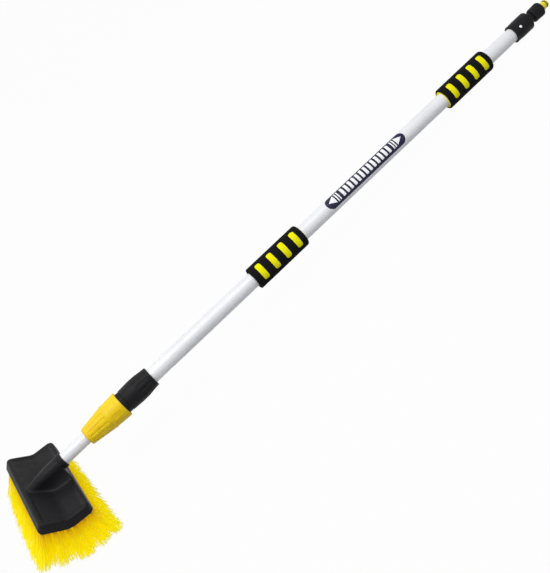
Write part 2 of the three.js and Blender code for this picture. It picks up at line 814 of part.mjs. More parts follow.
function endCap() {
  const solid = turned([
    [capPlace, outerTubeDiameter / 2 + seatGap],
    [capSeat, outerTubeDiameter / 2 + seatGap],
    [capSeat, waterBoreDiameter / 2],
    [stubEnd, waterBoreDiameter / 2],
    [stubEnd, stubDiameter / 2],
    [coneTip, stubDiameter / 2],
    [capEnd, capDiameter / 2, capEdgeRound],
    [capPlace + capTaperLength, capDiameter / 2],
    [capPlace, capMouthDiameter / 2, capEdgeRound],
  ]);
  return without(solid, roundAxis(rivetHole(), 2));
}

function rivetRod(diameter, from, to) {
  return solidOf(
    new THREE.CylinderGeometry(diameter / 2, diameter / 2, to - from, holeSides)
      .rotateX(Math.PI / 2)
      .translate(capPlace + rivetPlace, 0, (from + to) / 2),
  ).rotate([stripeFacing, 0, 0]);
}

// Dome head outside the cap, shank through the cap and the tube.
function capRivet(side) {
  const seat = capDiameter / 2 + seatGap;
  const tip = outerBore / 2 + seatGap;
  const head = rivetHeadShares.map(([radius, height]) => [
    (rivetHeadDiameter / 2) * radius, seat + rivetHeadHeight * height,
  ]);
  const outline = [
    [0, tip], [rivetShankDiameter / 2, tip], [rivetShankDiameter / 2, seat], ...head,
  ].map(([radius, height]) => new THREE.Vector2(radius, height));
  const rivet = solidOf(
    new THREE.LatheGeometry(outline, holeSides).rotateX(Math.PI / 2).translate(capPlace + rivetPlace, 0, 0),
  );
  return rivet.rotate([stripeFacing + 180 * side, 0, 0]);
}

const capSeal = () =>
  tubeSolid(
    outerTubeRear + seatGap, outerTubeRear + seatGap + capSealThickness,
    waterBoreDiameter, outerTubeDiameter, smallSides,
  );

function connectorNut() {
  const body = turned([
    [nutStart, stubDiameter / 2 + seatGap],
    [nutEnd - nutEndWall, stubDiameter / 2 + seatGap],
    [nutEnd - nutEndWall, nippleDiameter / 2 + seatGap],
    [nutEnd, nippleDiameter / 2 + seatGap],
    [nutEnd, nutDiameter / 2, nutEdgeRound],
    [nutStart, nutMouthDiameter / 2, nutEdgeRound / 2],
  ]);
  const radiusAt = (place) =>
    THREE.MathUtils.mapLinear(place, nutStart, nutEnd, nutMouthDiameter / 2, nutDiameter / 2);
  const span = [nutStart + nutGrooveMargin, nutEnd - nutGrooveMargin];
  const grooves = roundAxis(
    grooveCut(span, span.map(radiusAt), nutGrooveWidth, nutGrooveDepth),
    nutGrooveCount,
  );
  return without(body, grooves);
}

const nippleWasher = () =>
  tubeSolid(washerStart, flangeStart - seatGap, waterBoreDiameter, stubDiameter, smallSides);

const nippleEnd = nutEnd + nippleLength;
const nippleGrooveEnd = nippleEnd - nippleLipLength;
const nippleGrooveStart = nippleGrooveEnd - nippleRingSection - 2 * seatGap;
const nippleGrooveRadius = nippleNoseDiameter / 2 - nippleRingSection / 2;

function hoseNipple() {
  return turned([
    [flangeStart, nippleBoreDiameter / 2],
    [nippleEnd, nippleBoreDiameter / 2],
    [nippleEnd, nippleNoseDiameter / 2, tubeWall],
    [nippleGrooveEnd, nippleNoseDiameter / 2],
    [nippleGrooveEnd, nippleGrooveRadius],
    [nippleGrooveStart, nippleGrooveRadius],
    [nippleGrooveStart, nippleNoseDiameter / 2],
    [nutEnd + nippleBarrelLength + nippleTaperLength, nippleNoseDiameter / 2],
    [nutEnd + nippleBarrelLength, nippleDiameter / 2],
    [flangeEnd, nippleDiameter / 2],
    [flangeEnd, stubDiameter / 2],
    [flangeStart, stubDiameter / 2],
  ], smallSides);
}

const nippleRing = () =>
  ringSolid(
    (nippleGrooveStart + nippleGrooveEnd) / 2, nippleGrooveRadius + ringPinch, nippleRingSection - ringPinch,
  );

// Materials

const finish = (color, roughness, metalness = 0) =>
  new THREE.MeshStandardMaterial({ color, roughness, metalness });
const whiteEnamel = finish("#f2f3f5", 0.25);
const blackPlastic = finish("#1d1e20", 0.45);
const yellowPlastic = finish("#f2c61a", 0.4);
const yellowBristle = finish("#f3e312", 0.6);
const blackFoam = finish("#17181a", 0.85);
const yellowFoam = finish("#efe71f", 0.75);
const greyPlastic = finish("#8d9094", 0.5);
const blackRubber = finish("#121212", 0.7);
const bareSteel = finish("#d4d6d9", 0.3, 1);

const pieces = {
  head_cover: [headCover, blackPlastic],
  brush_block: [brushBlock, blackPlastic],
  bristles_front: [() => bristles(frontFace, frontLeans), yellowBristle],
  bristles_rear: [() => bristles(rearFace, rearLeans), yellowBristle],
  tip_insert: [tipInsert, greyPlastic],
  tip_ring: [tipRing, blackRubber],
  inner_tube: [innerTube, whiteEnamel],
  guide_bush: [guideBush, greyPlastic],
  guide_ring_front: [() => guideRing(0), blackRubber],
  guide_ring_rear: [() => guideRing(1), blackRubber],
  lock_collar: [lockCollar, yellowPlastic],
  lock_collet: [lockCollet, greyPlastic],
  lock_body: [lockBody, blackPlastic],
  outer_tube: [outerTube, whiteEnamel],
  lower_grip: [() => gripSleeve(gripPlaces[0]), blackFoam],
  lower_grip_liner: [() => gripLiner(gripPlaces[0]), yellowFoam],
  upper_grip: [() => gripSleeve(gripPlaces[1]), blackFoam],
  upper_grip_liner: [() => gripLiner(gripPlaces[1]), yellowFoam],
  end_cap: [endCap, blackPlastic],
  cap_rivet_upper: [() => capRivet(0), bareSteel],
  cap_rivet_lower: [() => capRivet(1), bareSteel],
  cap_seal: [capSeal, blackRubber],
  connector_nut: [connectorNut, blackPlastic],
  nipple_washer: [nippleWasher, blackRubber],
  hose_nipple: [hoseNipple, yellowPlastic],
  nipple_ring: [nippleRing, blackRubber],
};

const solids = Object.fromEntries(Object.entries(pieces).map(([name, [build]]) => [name, build()]));

// At rest the floor touches the cap's rear rim and the lowest bristles, which are cut flat there.
// The slope from the rim to them is the pole's tilt.
const rimPlace = capEnd - capEdgeRound;
const rimHeight = -capDiameter / 2;
const bristleNames = ["bristles_front", "bristles_rear"];
const floorSlopes = bristleNames.flatMap((name) => {
  const places = geometryOf(solids[name]).getAttribute("position");
  return Array.from({ length: places.count }, (_, i) =>
    (rimHeight - tipFlat - places.getZ(i)) / (rimPlace - places.getX(i)),
  );
});
const tilt = Math.atan(Math.max(...floorSlopes));
const belowFloor = solidOf(
  new THREE.BoxGeometry(2 * (rimPlace + headWidth), 2 * headWidth, bristleLength)
    .translate(0, 0, -bristleLength / 2)
    .rotateY(-tilt)
    .translate(rimPlace, 0, rimHeight),
);
for (const name of bristleNames) solids[name] = solids[name].subtract(belowFloor);

const pole = new THREE.Group();
for (const [name, [, material]] of Object.entries(pieces)) {
  const mesh = new THREE.Mesh(geometryOf(solids[name]), material);
  mesh.name = name;
  pole.add(mesh);
}
pole.rotation.y = tilt;
pole.updateMatrixWorld(true);

const box = new THREE.Box3().setFromObject(pole, true);
const centre = box.getCenter(new THREE.Vector3());
pole.position.set(-centre.x, -centre.y, -box.min.z);

const brush = new THREE.Group();
brush.add(pole);

export default brush;
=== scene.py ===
import json
import math
import random

import bmesh
import bpy
from mathutils import Matrix, Vector


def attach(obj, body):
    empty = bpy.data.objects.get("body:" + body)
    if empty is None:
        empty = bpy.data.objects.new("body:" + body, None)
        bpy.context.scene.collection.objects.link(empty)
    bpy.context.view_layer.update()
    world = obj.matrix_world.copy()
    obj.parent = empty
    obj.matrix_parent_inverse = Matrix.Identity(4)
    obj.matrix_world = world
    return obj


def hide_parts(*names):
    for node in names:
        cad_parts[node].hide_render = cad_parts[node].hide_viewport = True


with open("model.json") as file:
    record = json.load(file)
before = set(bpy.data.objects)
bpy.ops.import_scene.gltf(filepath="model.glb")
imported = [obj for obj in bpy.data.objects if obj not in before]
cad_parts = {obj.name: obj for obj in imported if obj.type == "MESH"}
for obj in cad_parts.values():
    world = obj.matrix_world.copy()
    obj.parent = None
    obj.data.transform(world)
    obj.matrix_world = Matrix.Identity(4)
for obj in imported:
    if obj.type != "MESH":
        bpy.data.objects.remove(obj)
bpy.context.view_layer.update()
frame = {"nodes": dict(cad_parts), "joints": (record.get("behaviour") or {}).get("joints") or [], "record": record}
scene = bpy.context.scene
scene.view_settings.view_transform = "Standard"
mm = 0.001
touch = 0.01 * mm  # points nearer than this count as one place
smoothAngle = math.radians(32)
print("frame loaded:", len(frame["nodes"]), "nodes")


# The pole's own axes: X runs along it from the mouth of the head's socket towards the hose end.
joints = {joint["name"]: joint for joint in frame["joints"]}
poleDirection = -Vector(joints["telescope"]["axis"]).normalized()
poleTurn = Matrix.Rotation(math.atan2(-poleDirection.z, poleDirection.x), 4, "Y")


def pointsInPole(nodeName, poleFrame):
    toPole = poleFrame.inverted()
    return [toPole @ vertex.co for vertex in frame["nodes"][nodeName].data.vertices]


pivotFrame = Matrix.Translation(Vector(joints["pole_swivel"]["pos_m"])) @ poleTurn
socketMouth = max(point.x for point in pointsInPole("head_cover", pivotFrame))
poleFrame = pivotFrame @ Matrix.Translation((socketMouth, 0, 0))


def spanOf(nodeName):
    points = pointsInPole(nodeName, poleFrame)
    radius = max(math.hypot(point.y, point.z) for point in points)
    return min(point.x for point in points), max(point.x for point in points), radius


# Small helpers for modelling
def selectOnly(*pieces):
    if bpy.context.mode != "OBJECT":
        bpy.ops.object.mode_set(mode="OBJECT")
    bpy.ops.object.select_all(action="DESELECT")
    for piece in pieces:
        piece.select_set(True)
    if pieces:
        bpy.context.view_layer.objects.active = pieces[0]


def applyPlace(piece):
    selectOnly(piece)
    bpy.ops.object.transform_apply(location=True, rotation=True, scale=True)


def applyModifier(piece, kind, **settings):
    selectOnly(piece)
    modifier = piece.modifiers.new(kind, kind)
    for name, value in settings.items():
        setattr(modifier, name, value)
    bpy.ops.object.modifier_apply(modifier=modifier.name)


def editSelected(piece, part, test):
    # opens the piece in edit mode with just the faces, edges or vertices that pass the test selected
    selectOnly(piece)
    bpy.ops.object.mode_set(mode="EDIT")
    bpy.ops.mesh.select_mode(type=part)
    bpy.ops.mesh.select_all(action="DESELECT")
    mesh = bmesh.from_edit_mesh(piece.data)
    for element in {"FACE": mesh.faces, "EDGE": mesh.edges, "VERT": mesh.verts}[part]:
        if test(element):
            element.select_set(True)
    mesh.select_flush_mode()
    bmesh.update_edit_mesh(piece.data)


def makeSolid(piece):
    editSelected(piece, "FACE", lambda face: True)
    bpy.ops.mesh.normals_make_consistent(inside=False)
    bpy.ops.object.mode_set(mode="OBJECT")


def atRing(place, radius, slack=2 * touch):
    def test(vertex):
        far = math.hypot(vertex.co.y, vertex.co.z)
        return abs(vertex.co.x - place) < slack and abs(far - radius) < slack
    return test


def turnedPiece(name, outline, sides=96, filled=False):
    # a wall turned about the pole, ring by ring: each entry is a place, a radius and, where its
    # corner is rounded, by how much
    selectOnly()
    place, radius = outline[0][:2]
    bpy.ops.mesh.primitive_circle_add(
        vertices=sides, radius=radius, location=(place, 0, 0), rotation=(0, math.pi / 2, 0)
    )
    piece = bpy.context.object
    piece.name = piece.data.name = name
    applyPlace(piece)
    bpy.ops.object.mode_set(mode="EDIT")
    bpy.ops.mesh.select_mode(type="EDGE")
    bpy.ops.mesh.select_all(action="SELECT")
    for nextPlace, nextRadius, *_ in outline[1:]:
        bpy.ops.mesh.extrude_region_move(TRANSFORM_OT_translate={"value": (nextPlace - place, 0, 0)})
        growth = nextRadius / radius
        bpy.ops.transform.resize(value=(1, growth, growth), center_override=(nextPlace, 0, 0))
        place, radius = nextPlace, nextRadius
    bpy.ops.mesh.select_all(action="DESELECT")
    bpy.ops.mesh.select_non_manifold()
    if filled:
        bpy.ops.mesh.fill_holes(sides=0)
    else:
        bpy.ops.mesh.bridge_edge_loops()
    makeSolid(piece)
    for place, radius, *rounding in outline:
        if rounding:
            onRing = atRing(place, radius)
            editSelected(piece, "EDGE", lambda edge: all(onRing(vertex) for vertex in edge.verts))
            bpy.ops.mesh.bevel(offset=rounding[0], segments=4, affect="EDGES")
            bpy.ops.object.mode_set(mode="OBJECT")
    return piece


def straightTaper(start, low, end, high):
    # from one ring's place and radius to another's
    def radiusAt(place):
        return low + (high - low) * (place - start) / (end - start)
    return radiusAt


def sinkPanels(piece, start, end, sides, count, width, margin, depth):
    # presses shallow panels into a turned surface, evenly round it; width counts the sides under each
    pitch = sides // count
    straightOut = 0.7  # the least share of a face's direction that points away from the pole

    def inPanel(face):
        middle = face.calc_center_median()
        outward = Vector((0, middle.y, middle.z)).normalized()
        column = int(math.atan2(middle.z, middle.y) / (2 * math.pi) * sides + sides)
        return start < middle.x < end and face.normal.dot(outward) > straightOut and column % pitch < width

    editSelected(piece, "FACE", inPanel)
    bpy.ops.mesh.inset(thickness=margin, depth=-depth, use_even_offset=True)
    bpy.ops.object.mode_set(mode="OBJECT")


def combine(piece, operation, *others):
    for other in others:
        applyModifier(piece, "BOOLEAN", operation=operation, solver="MANIFOLD", object=other)
        bpy.data.objects.remove(other)
    return piece


def roundedPrism(place, length, width, corner, low, high, facing=0):
    # a block with rounded corners that stands out from the pole, towards the side it faces
    selectOnly()
    bpy.ops.mesh.primitive_plane_add(size=1, location=(place, 0, low))
    prism = bpy.context.object
    prism.scale = (length, width, 1)
    applyPlace(prism)
    editSelected(prism, "VERT", lambda vertex: True)
    bpy.ops.mesh.bevel(offset=corner, segments=8, affect="VERTICES")
    bpy.ops.mesh.select_all(action="SELECT")
    bpy.ops.mesh.extrude_region_move(TRANSFORM_OT_translate={"value": (0, 0, high - low)})
    makeSolid(prism)
    prism.matrix_world = Matrix.Rotation(math.radians(facing), 4, "X")
    applyPlace(prism)
    return prism


def wallPatch(name, plan, inner, outer):
    # the part of a thin round wall that lies inside a prism
    places = [vertex.co.x for vertex in plan.data.vertices]
    overrun = 2 * mm
    start, end = min(places) - overrun, max(places) + overrun
    wall = turnedPiece(name, [(start, inner), (end, inner), (end, outer), (start, outer)])
    return combine(wall, "INTERSECT", plan)


def joinPieces(name, pieces):
    selectOnly(*pieces)
    bpy.ops.object.join()
    joined = bpy.context.object
    joined.name = joined.data.name = name
    return joined


def paint(piece, material):
    piece.data.materials.clear()
    piece.data.materials.append(material)


def softenEdges(piece, width, angle=28):
    applyModifier(
        piece, "BEVEL", width=width, segments=2, limit_method="ANGLE",
        angle_limit=math.radians(angle), harden_normals=False,
    )


def finishPiece(piece, body, nodeName, slotName, painted=False):
    # from the pole's axes to the object's own, then smooth, dressed and tied to its body
    piece.matrix_world = poleFrame @ piece.matrix_world
    applyPlace(piece)
    bpy.ops.object.shade_smooth_by_angle(angle=smoothAngle)
    if not painted:
        paint(piece, finishes[slotName])
    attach(piece, body)
    if nodeName:
        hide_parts(nodeName)


# Materials
def hexColor(code):
    # an sRGB code as linear light
    channels = [int(code[i:i + 2], 16) / 255 for i in (1, 3, 5)]
    linear = [c / 12.92 if c <= 0.04045 else ((c + 0.055) / 1.055) ** 2.4 for c in channels]
    return (*linear, 1)


def addNode(tree, kind, settings=None, inputs=None):
    node = tree.nodes.new(kind)
    for name, value in (settings or {}).items():
        setattr(node, name, value)
    for name, value in (inputs or {}).items():
        if isinstance(value, bpy.types.NodeSocket):
            tree.links.new(value, node.inputs[name])
        else:
            node.inputs[name].default_value = value
    return node


def newMaterial(name):
    material = bpy.data.materials.new(name)
    material.use_nodes = True
    tree = material.node_tree
    shader = tree.nodes["Principled BSDF"]
    place = addNode(tree, "ShaderNodeTexCoord").outputs["Object"]
    return material, tree, shader, place


def tintRamp(tree, factor, stops):
    ramp = addNode(tree, "ShaderNodeValToRGB", inputs={"Fac": factor})
    elements = ramp.color_ramp.elements
    while len(elements) < len(stops):
        elements.new(0.5)
    for element, (position, code) in zip(elements, stops):
        element.position = position
        element.color = hexColor(code)
    return ramp.outputs["Color"]


def noiseFactor(tree, place, size, detail):
    # size is the width of one patch of the noise in metres
    noise = addNode(tree, "ShaderNodeTexNoise", inputs={"Vector": place, "Scale": 1 / size, "Detail": detail})
    return noise.outputs["Fac"]


def grainBump(tree, place, size, strength):
    # a grain is a quarter as deep as it is wide
    bump = addNode(
        tree, "ShaderNodeBump",
        inputs={"Strength": strength, "Distance": size * 0.25, "Height": noiseFactor(tree, place, size, 2.0)},
    )
    return bump.outputs["Normal"]


def roughnessCloud(tree, place, size, low, high):
    spread = addNode(
        tree, "ShaderNodeMapRange",
        inputs={
            "Value": noiseFactor(tree, place, size, 3.0),
            "From Min": 0.3, "From Max": 0.7, "To Min": low, "To Max": high,
        },
    )
    return spread.outputs["Result"]


def tint(tree, place, size, stops):
    return tintRamp(tree, noiseFactor(tree, place, size, 4.0), stops)


def surfaceFinish(name, tintSize, stops, cloud, grain, constants=None):
    # what most finishes share: a tint, a cloud of roughness (its size, lowest and highest value)
    # and a grain (its width and strength)
    material, tree, shader, place = newMaterial(name)
    tree.links.new(tint(tree, place, tintSize, stops), shader.inputs["Base Color"])
    tree.links.new(roughnessCloud(tree, place, *cloud), shader.inputs["Roughness"])
    tree.links.new(grainBump(tree, place, *grain), shader.inputs["Normal"])
    for socket, value in (constants or {}).items():
        shader.inputs[socket].default_value = value
    return material


def bristleFibre():
    # extruded polystyrene fibre, lemon at the flagged tip; towards the root a painted shade turns it orange-tan,
    # where the light doesn't reach
    material, tree, shader, place = newMaterial("bristleFibre")
    along = addNode(tree, "ShaderNodeAttribute", {"attribute_name": "along"}).outputs["Fac"]
    # painted shade: the ramp darkens each strand to orange-tan towards its root, where tufts shade each other
    base = tintRamp(
        tree, along,
        [(0.0, "#A87618"), (0.07, "#DDB01A"), (0.2, "#EFD20E"), (0.45, "#F4E406"), (1.0, "#F5EC0A")],
    )
    clump = tint(tree, place, 9 * mm, [(0.35, "#FFEFA0"), (0.65, "#FFFFFF")])
    mixed = addNode(
        tree, "ShaderNodeMix", {"data_type": "RGBA", "blend_type": "MULTIPLY"},
        {"Factor": 0.35, 6: base, 7: clump},
    )
    tree.links.new(mixed.outputs[2], shader.inputs["Base Color"])
    tree.links.new(mixed.outputs[2], shader.inputs["Emission Color"])
    material.cycles.emission_sampling = "NONE"
    # painted light: the strands glow a little, more near the tips, standing for the light that clear strands pass
    # on to each other
    glow = addNode(tree, "ShaderNodeMath", {"operation": "MULTIPLY_ADD"}, {0: along, 1: 0.08, 2: 0.15})
    tree.links.new(glow.outputs[0], shader.inputs["Emission Strength"])
    tree.links.new(roughnessCloud(tree, place, 5 * mm, 0.45, 0.65), shader.inputs["Roughness"])
    shader.inputs["Specular IOR Level"].default_value = 0.2
    shader.inputs["Subsurface Weight"].default_value = 0.7
    shader.inputs["Subsurface Scale"].default_value = 1.0
    shader.inputs["Subsurface Radius"].default_value = (2.5 * mm, 2 * mm, 0.3 * mm)
    return material


def closedCellFoam(name, dark, light):
    # closed-cell foam, skived smooth: matt, with cells about 1 mm across that the knife has cut open
    material, tree, shader, place = newMaterial(name)
    cells = addNode(tree, "ShaderNodeTexVoronoi", inputs={"Vector": place, "Scale": 1 / (1.1 * mm)})
    # painted shade: each cut cell is darker towards its middle, where the bump sinks its pit
    color = tintRamp(tree, cells.outputs["Distance"], [(0.0, dark), (0.45, light)])
    tree.links.new(color, shader.inputs["Base Color"])
    bump = addNode(
        tree, "ShaderNodeBump",
        inputs={"Strength": 0.35, "Distance": 0.3 * mm, "Height": cells.outputs["Distance"]},
    )
    tree.links.new(bump.outputs["Normal"], shader.inputs["Normal"])
    tree.links.new(roughnessCloud(tree, place, 10 * mm, 0.78, 0.92), shader.inputs["Roughness"])
    shader.inputs["Specular IOR Level"].default_value = 0.05
    return material


def labelInk(name, dark, light):
    # screen-printed vinyl: smooth, with the slight unevenness of the ink film
    return surfaceFinish(
        name, 5 * mm, [(0.3, dark), (0.7, light)], (6 * mm, 0.25, 0.35), (1 * mm, 0.05),
        {"Specular IOR Level": 0.25},
    )


finishes = {
    # white powder-coated tube: an even gloss with a faint orange peel, about 3 mm from dimple to dimple
    "white_enamel": surfaceFinish(
        "powderCoat", 60 * mm, [(0.3, "#E2E4E8"), (0.7, "#EBECF0")], (25 * mm, 0.32, 0.42), (3 * mm, 0.02),
        {"Coat Weight": 0.15, "Coat Roughness": 0.12},
    ),
    # moulded polypropylene: satin black with a spark-eroded grain, drawn at 0.7 mm so that it shows
    "black_plastic": surfaceFinish(
        "blackPolypropylene", 12 * mm, [(0.25, "#141416"), (0.75, "#1B1B1D")], (18 * mm, 0.42, 0.55),
        (0.7 * mm, 0.25), {"IOR": 1.49, "Specular IOR Level": 0.12},
    ),
    # moulded ABS: warm yellow, semi-gloss, a little deeper in colour where the flow lines ran
    "yellow_plastic": surfaceFinish(
        "yellowAbs", 22 * mm, [(0.3, "#EFC806"), (0.7, "#F6D40C")], (14 * mm, 0.42, 0.52), (0.9 * mm, 0.04),
        {"Specular IOR Level": 0.3},
    ),
    "yellow_bristle": bristleFibre(),
    "black_foam": closedCellFoam("blackFoam", "#0C0C0D", "#171718"),
    "yellow_foam": closedCellFoam("yellowFoam", "#E2DA08", "#F5EF16"),
    # nitrile rubber: deep black, smooth, with a faint bloom
    "black_rubber": surfaceFinish(
        "nitrileRubber", 4 * mm, [(0.3, "#101010"), (0.7, "#1B1B1C")], (3 * mm, 0.5, 0.65), (0.6 * mm, 0.1),
    ),
    # moulded acetal: mid grey and waxy
    "grey_plastic": surfaceFinish(
        "greyAcetal", 8 * mm, [(0.3, "#84878B"), (0.7, "#94979B")], (8 * mm, 0.4, 0.55), (0.8 * mm, 0.1),
    ),
    # plated steel rivet: bright, with the fine rings of the set tool
    "bare_steel": surfaceFinish(
        "rivetSteel", 2 * mm, [(0.3, "#C9CBCE"), (0.7, "#E6E7E9")], (1 * mm, 0.2, 0.35), (0.5 * mm, 0.08),
        {"Metallic": 1.0},
    ),
}
# moulded acetal in lemon yellow: waxy and smooth
nippleYellow = surfaceFinish(
    "nipplePlastic", 9 * mm, [(0.3, "#E9DE1A"), (0.7, "#F4EA2A")], (6 * mm, 0.3, 0.42), (0.8 * mm, 0.06),
)
navyInk = labelInk("navyInk", "#0F1030", "#191B3E")
whiteInk = labelInk("whiteInk", "#F0F1F4", "#FAFAFB")

slots = {part["node"]: part["material_slot"] for part in frame["record"]["subparts"]}
for nodeName, node in frame["nodes"].items():
    paint(node, finishes[slots[nodeName]])
print("materials made")


# Camera at the photograph's viewing angle, placed from the pole's own axes
cameraSizes = {
    "place": Vector((240.2, -1315.9, 922.4)) * mm,
    "right": Vector((0.7071, -0.5305, -0.4675)),
    "up": Vector((0.6756, 0.3121, 0.6679)),
    "lens": 57.6,
    "shift": (-0.0913, -0.0858),
    "sensor": 36,
    "clip": (0.05, 50),
}
cameraData = bpy.data.cameras.new("camera")
cameraData.lens = cameraSizes["lens"]
cameraData.sensor_width = cameraSizes["sensor"]
cameraData.shift_x, cameraData.shift_y = cameraSizes["shift"]
cameraData.clip_start, cameraData.clip_end = cameraSizes["clip"]
camera = bpy.data.objects.new("camera", cameraData)
scene.collection.objects.link(camera)
right = cameraSizes["right"].normalized()
back = right.cross(cameraSizes["up"]).normalized()
up = back.cross(right)
turn = Matrix((right, up, back)).transposed().to_4x4()
camera.matrix_world = poleFrame @ Matrix.Translation(cameraSizes["place"]) @ turn
scene.camera = camera


# Floor and soft studio light
def seenDirectly(tree):
    # 1 for what the camera sees, straight, in a mirror or through glass
    rays = addNode(tree, "ShaderNodeLightPath").outputs
    seen = rays["Is Camera Ray"]
    for kind in ("Is Glossy Ray", "Is Transmission Ray"):
        seen = addNode(tree, "ShaderNodeMath", {"operation": "MAXIMUM"}, {0: seen, 1: rays[kind]}).outputs[0]
    return seen


floorSizes = {"side": 30.0, "drop": 0.2 * mm, "roughness": 0.9, "seenWhite": 0.97}
selectOnly()
bpy.ops.mesh.primitive_plane_add(size=floorSizes["side"], location=(0, 0, -floorSizes["drop"]))
floor = bpy.context.object
floor.name = "floor"
floorPaper = bpy.data.materials.new("floorPaper")
floorPaper.use_nodes = True
floorTree = floorPaper.node_tree
paper = floorTree.nodes["Principled BSDF"]
paper.inputs["Base Color"].default_value = hexColor("#A9ABAE")
paper.inputs["Roughness"].default_value = floorSizes["roughness"]
glow = addNode(floorTree, "ShaderNodeEmission", inputs={"Color": (1, 1, 1, 1), "Strength": 1.0})
share = addNode(
    floorTree, "ShaderNodeMath", {"operation": "MULTIPLY"},
    {0: seenDirectly(floorTree), 1: floorSizes["seenWhite"]},
)
blend = addNode(
    floorTree, "ShaderNodeMixShader",
    inputs={0: share.outputs[0], 1: paper.outputs[0], 2: glow.outputs[0]},
)
floorTree.links.new(blend.outputs[0], floorTree.nodes["Material Output"].inputs["Surface"])
floor.data.materials.append(floorPaper)

studioGlow = {"To Min": 0.3, "To Max": 1.0}  # on the object, and where the camera sees it
world = bpy.data.worlds.new("studio")
scene.world = world
world.use_nodes = True
worldTree = world.node_tree
background = worldTree.nodes["Background"]
background.inputs["Color"].default_value = (1, 1, 1, 1)
strength = addNode(
    worldTree, "ShaderNodeMapRange",
    inputs={"Value": seenDirectly(worldTree), **studioGlow},
)
worldTree.links.new(strength.outputs["Result"], background.inputs["Strength"])


def areaLight(name, place, target, size, power):
    light = bpy.data.lights.new(name, "AREA")
    light.shape = "DISK"
    light.size = size
    light.energy = power
    lamp = bpy.data.objects.new(name, light)
    scene.collection.objects.link(lamp)
    lamp.location = place
    lamp.rotation_euler = (Vector(target) - Vector(place)).to_track_quat("-Z", "Y").to_euler()


# place, target, width in metres and power in watts
lamps = {
    "keyLight": ((-0.15, -0.4, 2.4), (0, 0, 0), 2.2, 50),
    "fillLight": ((0.9, -2.2, 1.8), (0, 0, 0), 2.0, 4),
    "backLight": ((-1.24, 1.87, 1.63), (-0.6, 0, 0.08), 0.9, 6),
}
for name, settings in lamps.items():
    areaLight(name, *settings)
print("camera, floor and lights set")


# Tubes
tubeSizes = {
    "wall": 1.2 * mm, "lip": 0.3 * mm, "rings": 24,
    "film": (234.5 * mm, 1098.5 * mm), "filmThickness": 0.25 * mm,
}


def paintedTube(name, nodeName, body, film=()):
    start, end, radius = spanOf(nodeName)
    bore = radius - tubeSizes["wall"]
    lip = tubeSizes["lip"]
    wrapped = radius + tubeSizes["filmThickness"]
    outline = [(start, bore, lip), (end, bore, lip), (end, radius, lip)]
    filmStart, filmEnd = film or (end, end)
    # rings along the outside keep its faces short, which keeps the gloss even
    pitch = (end - start) / tubeSizes["rings"]
    for ring in range(tubeSizes["rings"] - 1, 0, -1):
        place = start + ring * pitch
        if film and place < filmEnd <= place + pitch:
            outline += [(filmEnd, radius), (filmEnd, wrapped)]
        if film and place < filmStart <= place + pitch:
            outline += [(filmStart, wrapped), (filmStart, radius)]
        outline.append((place, wrapped if film and filmStart < place < filmEnd else radius))
    piece = turnedPiece(name, outline + [(start, radius, lip)])
    finishPiece(piece, body, nodeName, "white_enamel")


paintedTube("innerTube", "inner_tube", "brush_pole")
paintedTube("outerTube", "outer_tube", "outer_pole", tubeSizes["film"])
print("tubes made")


def ringPiece(name, nodeName, body, slotName):
    # an O-ring with a round section, from the CAD ring's own size
    start, end, radius = spanOf(nodeName)
    section = (end - start) / 2
    selectOnly()
    bpy.ops.mesh.primitive_torus_add(
        major_segments=64, minor_segments=16, major_radius=radius - section, minor_radius=section,
        location=((start + end) / 2, 0, 0), rotation=(0, math.pi / 2, 0),
    )
    piece = bpy.context.object
    piece.name = piece.data.name = name
    applyPlace(piece)
    finishPiece(piece, body, nodeName, slotName)


ringPiece("nippleRing", "nipple_ring", "outer_pole", "black_rubber")


# Twist lock: ribbed yellow collar
collarSizes = {
    "noseRadius": 16.2 * mm, "stepShare": 0.58, "stepHeight": 0.7 * mm, "stepWidth": 3 * mm,
    "middleRadius": 22.6 * mm, "tailRadius": 24.6 * mm, "bore": 11.35 * mm, "noseWall": 5 * mm,
    "coneLength": 31 * mm, "coneMouth": 12.7 * mm, "coneTail": 14.6 * mm, "threadRadius": 16.95 * mm,
    "mouthRadius": 20.15 * mm, "mouthDepth": 17 * mm, "sides": 98,
    "ribs": {"count": 14, "width": 3, "margin": 0.45 * mm, "depth": 0.75 * mm}, "ribPlaces": (0.08, 0.55),
    "pockets": {"count": 7, "width": 6, "margin": 0.9 * mm, "depth": 0.7 * mm}, "pocketPlaces": (0.68, 0.9),
    "lip": 0.4 * mm, "endRound": 1.4 * mm, "stepRound": 0.3 * mm, "edge": 0.35 * mm,
}


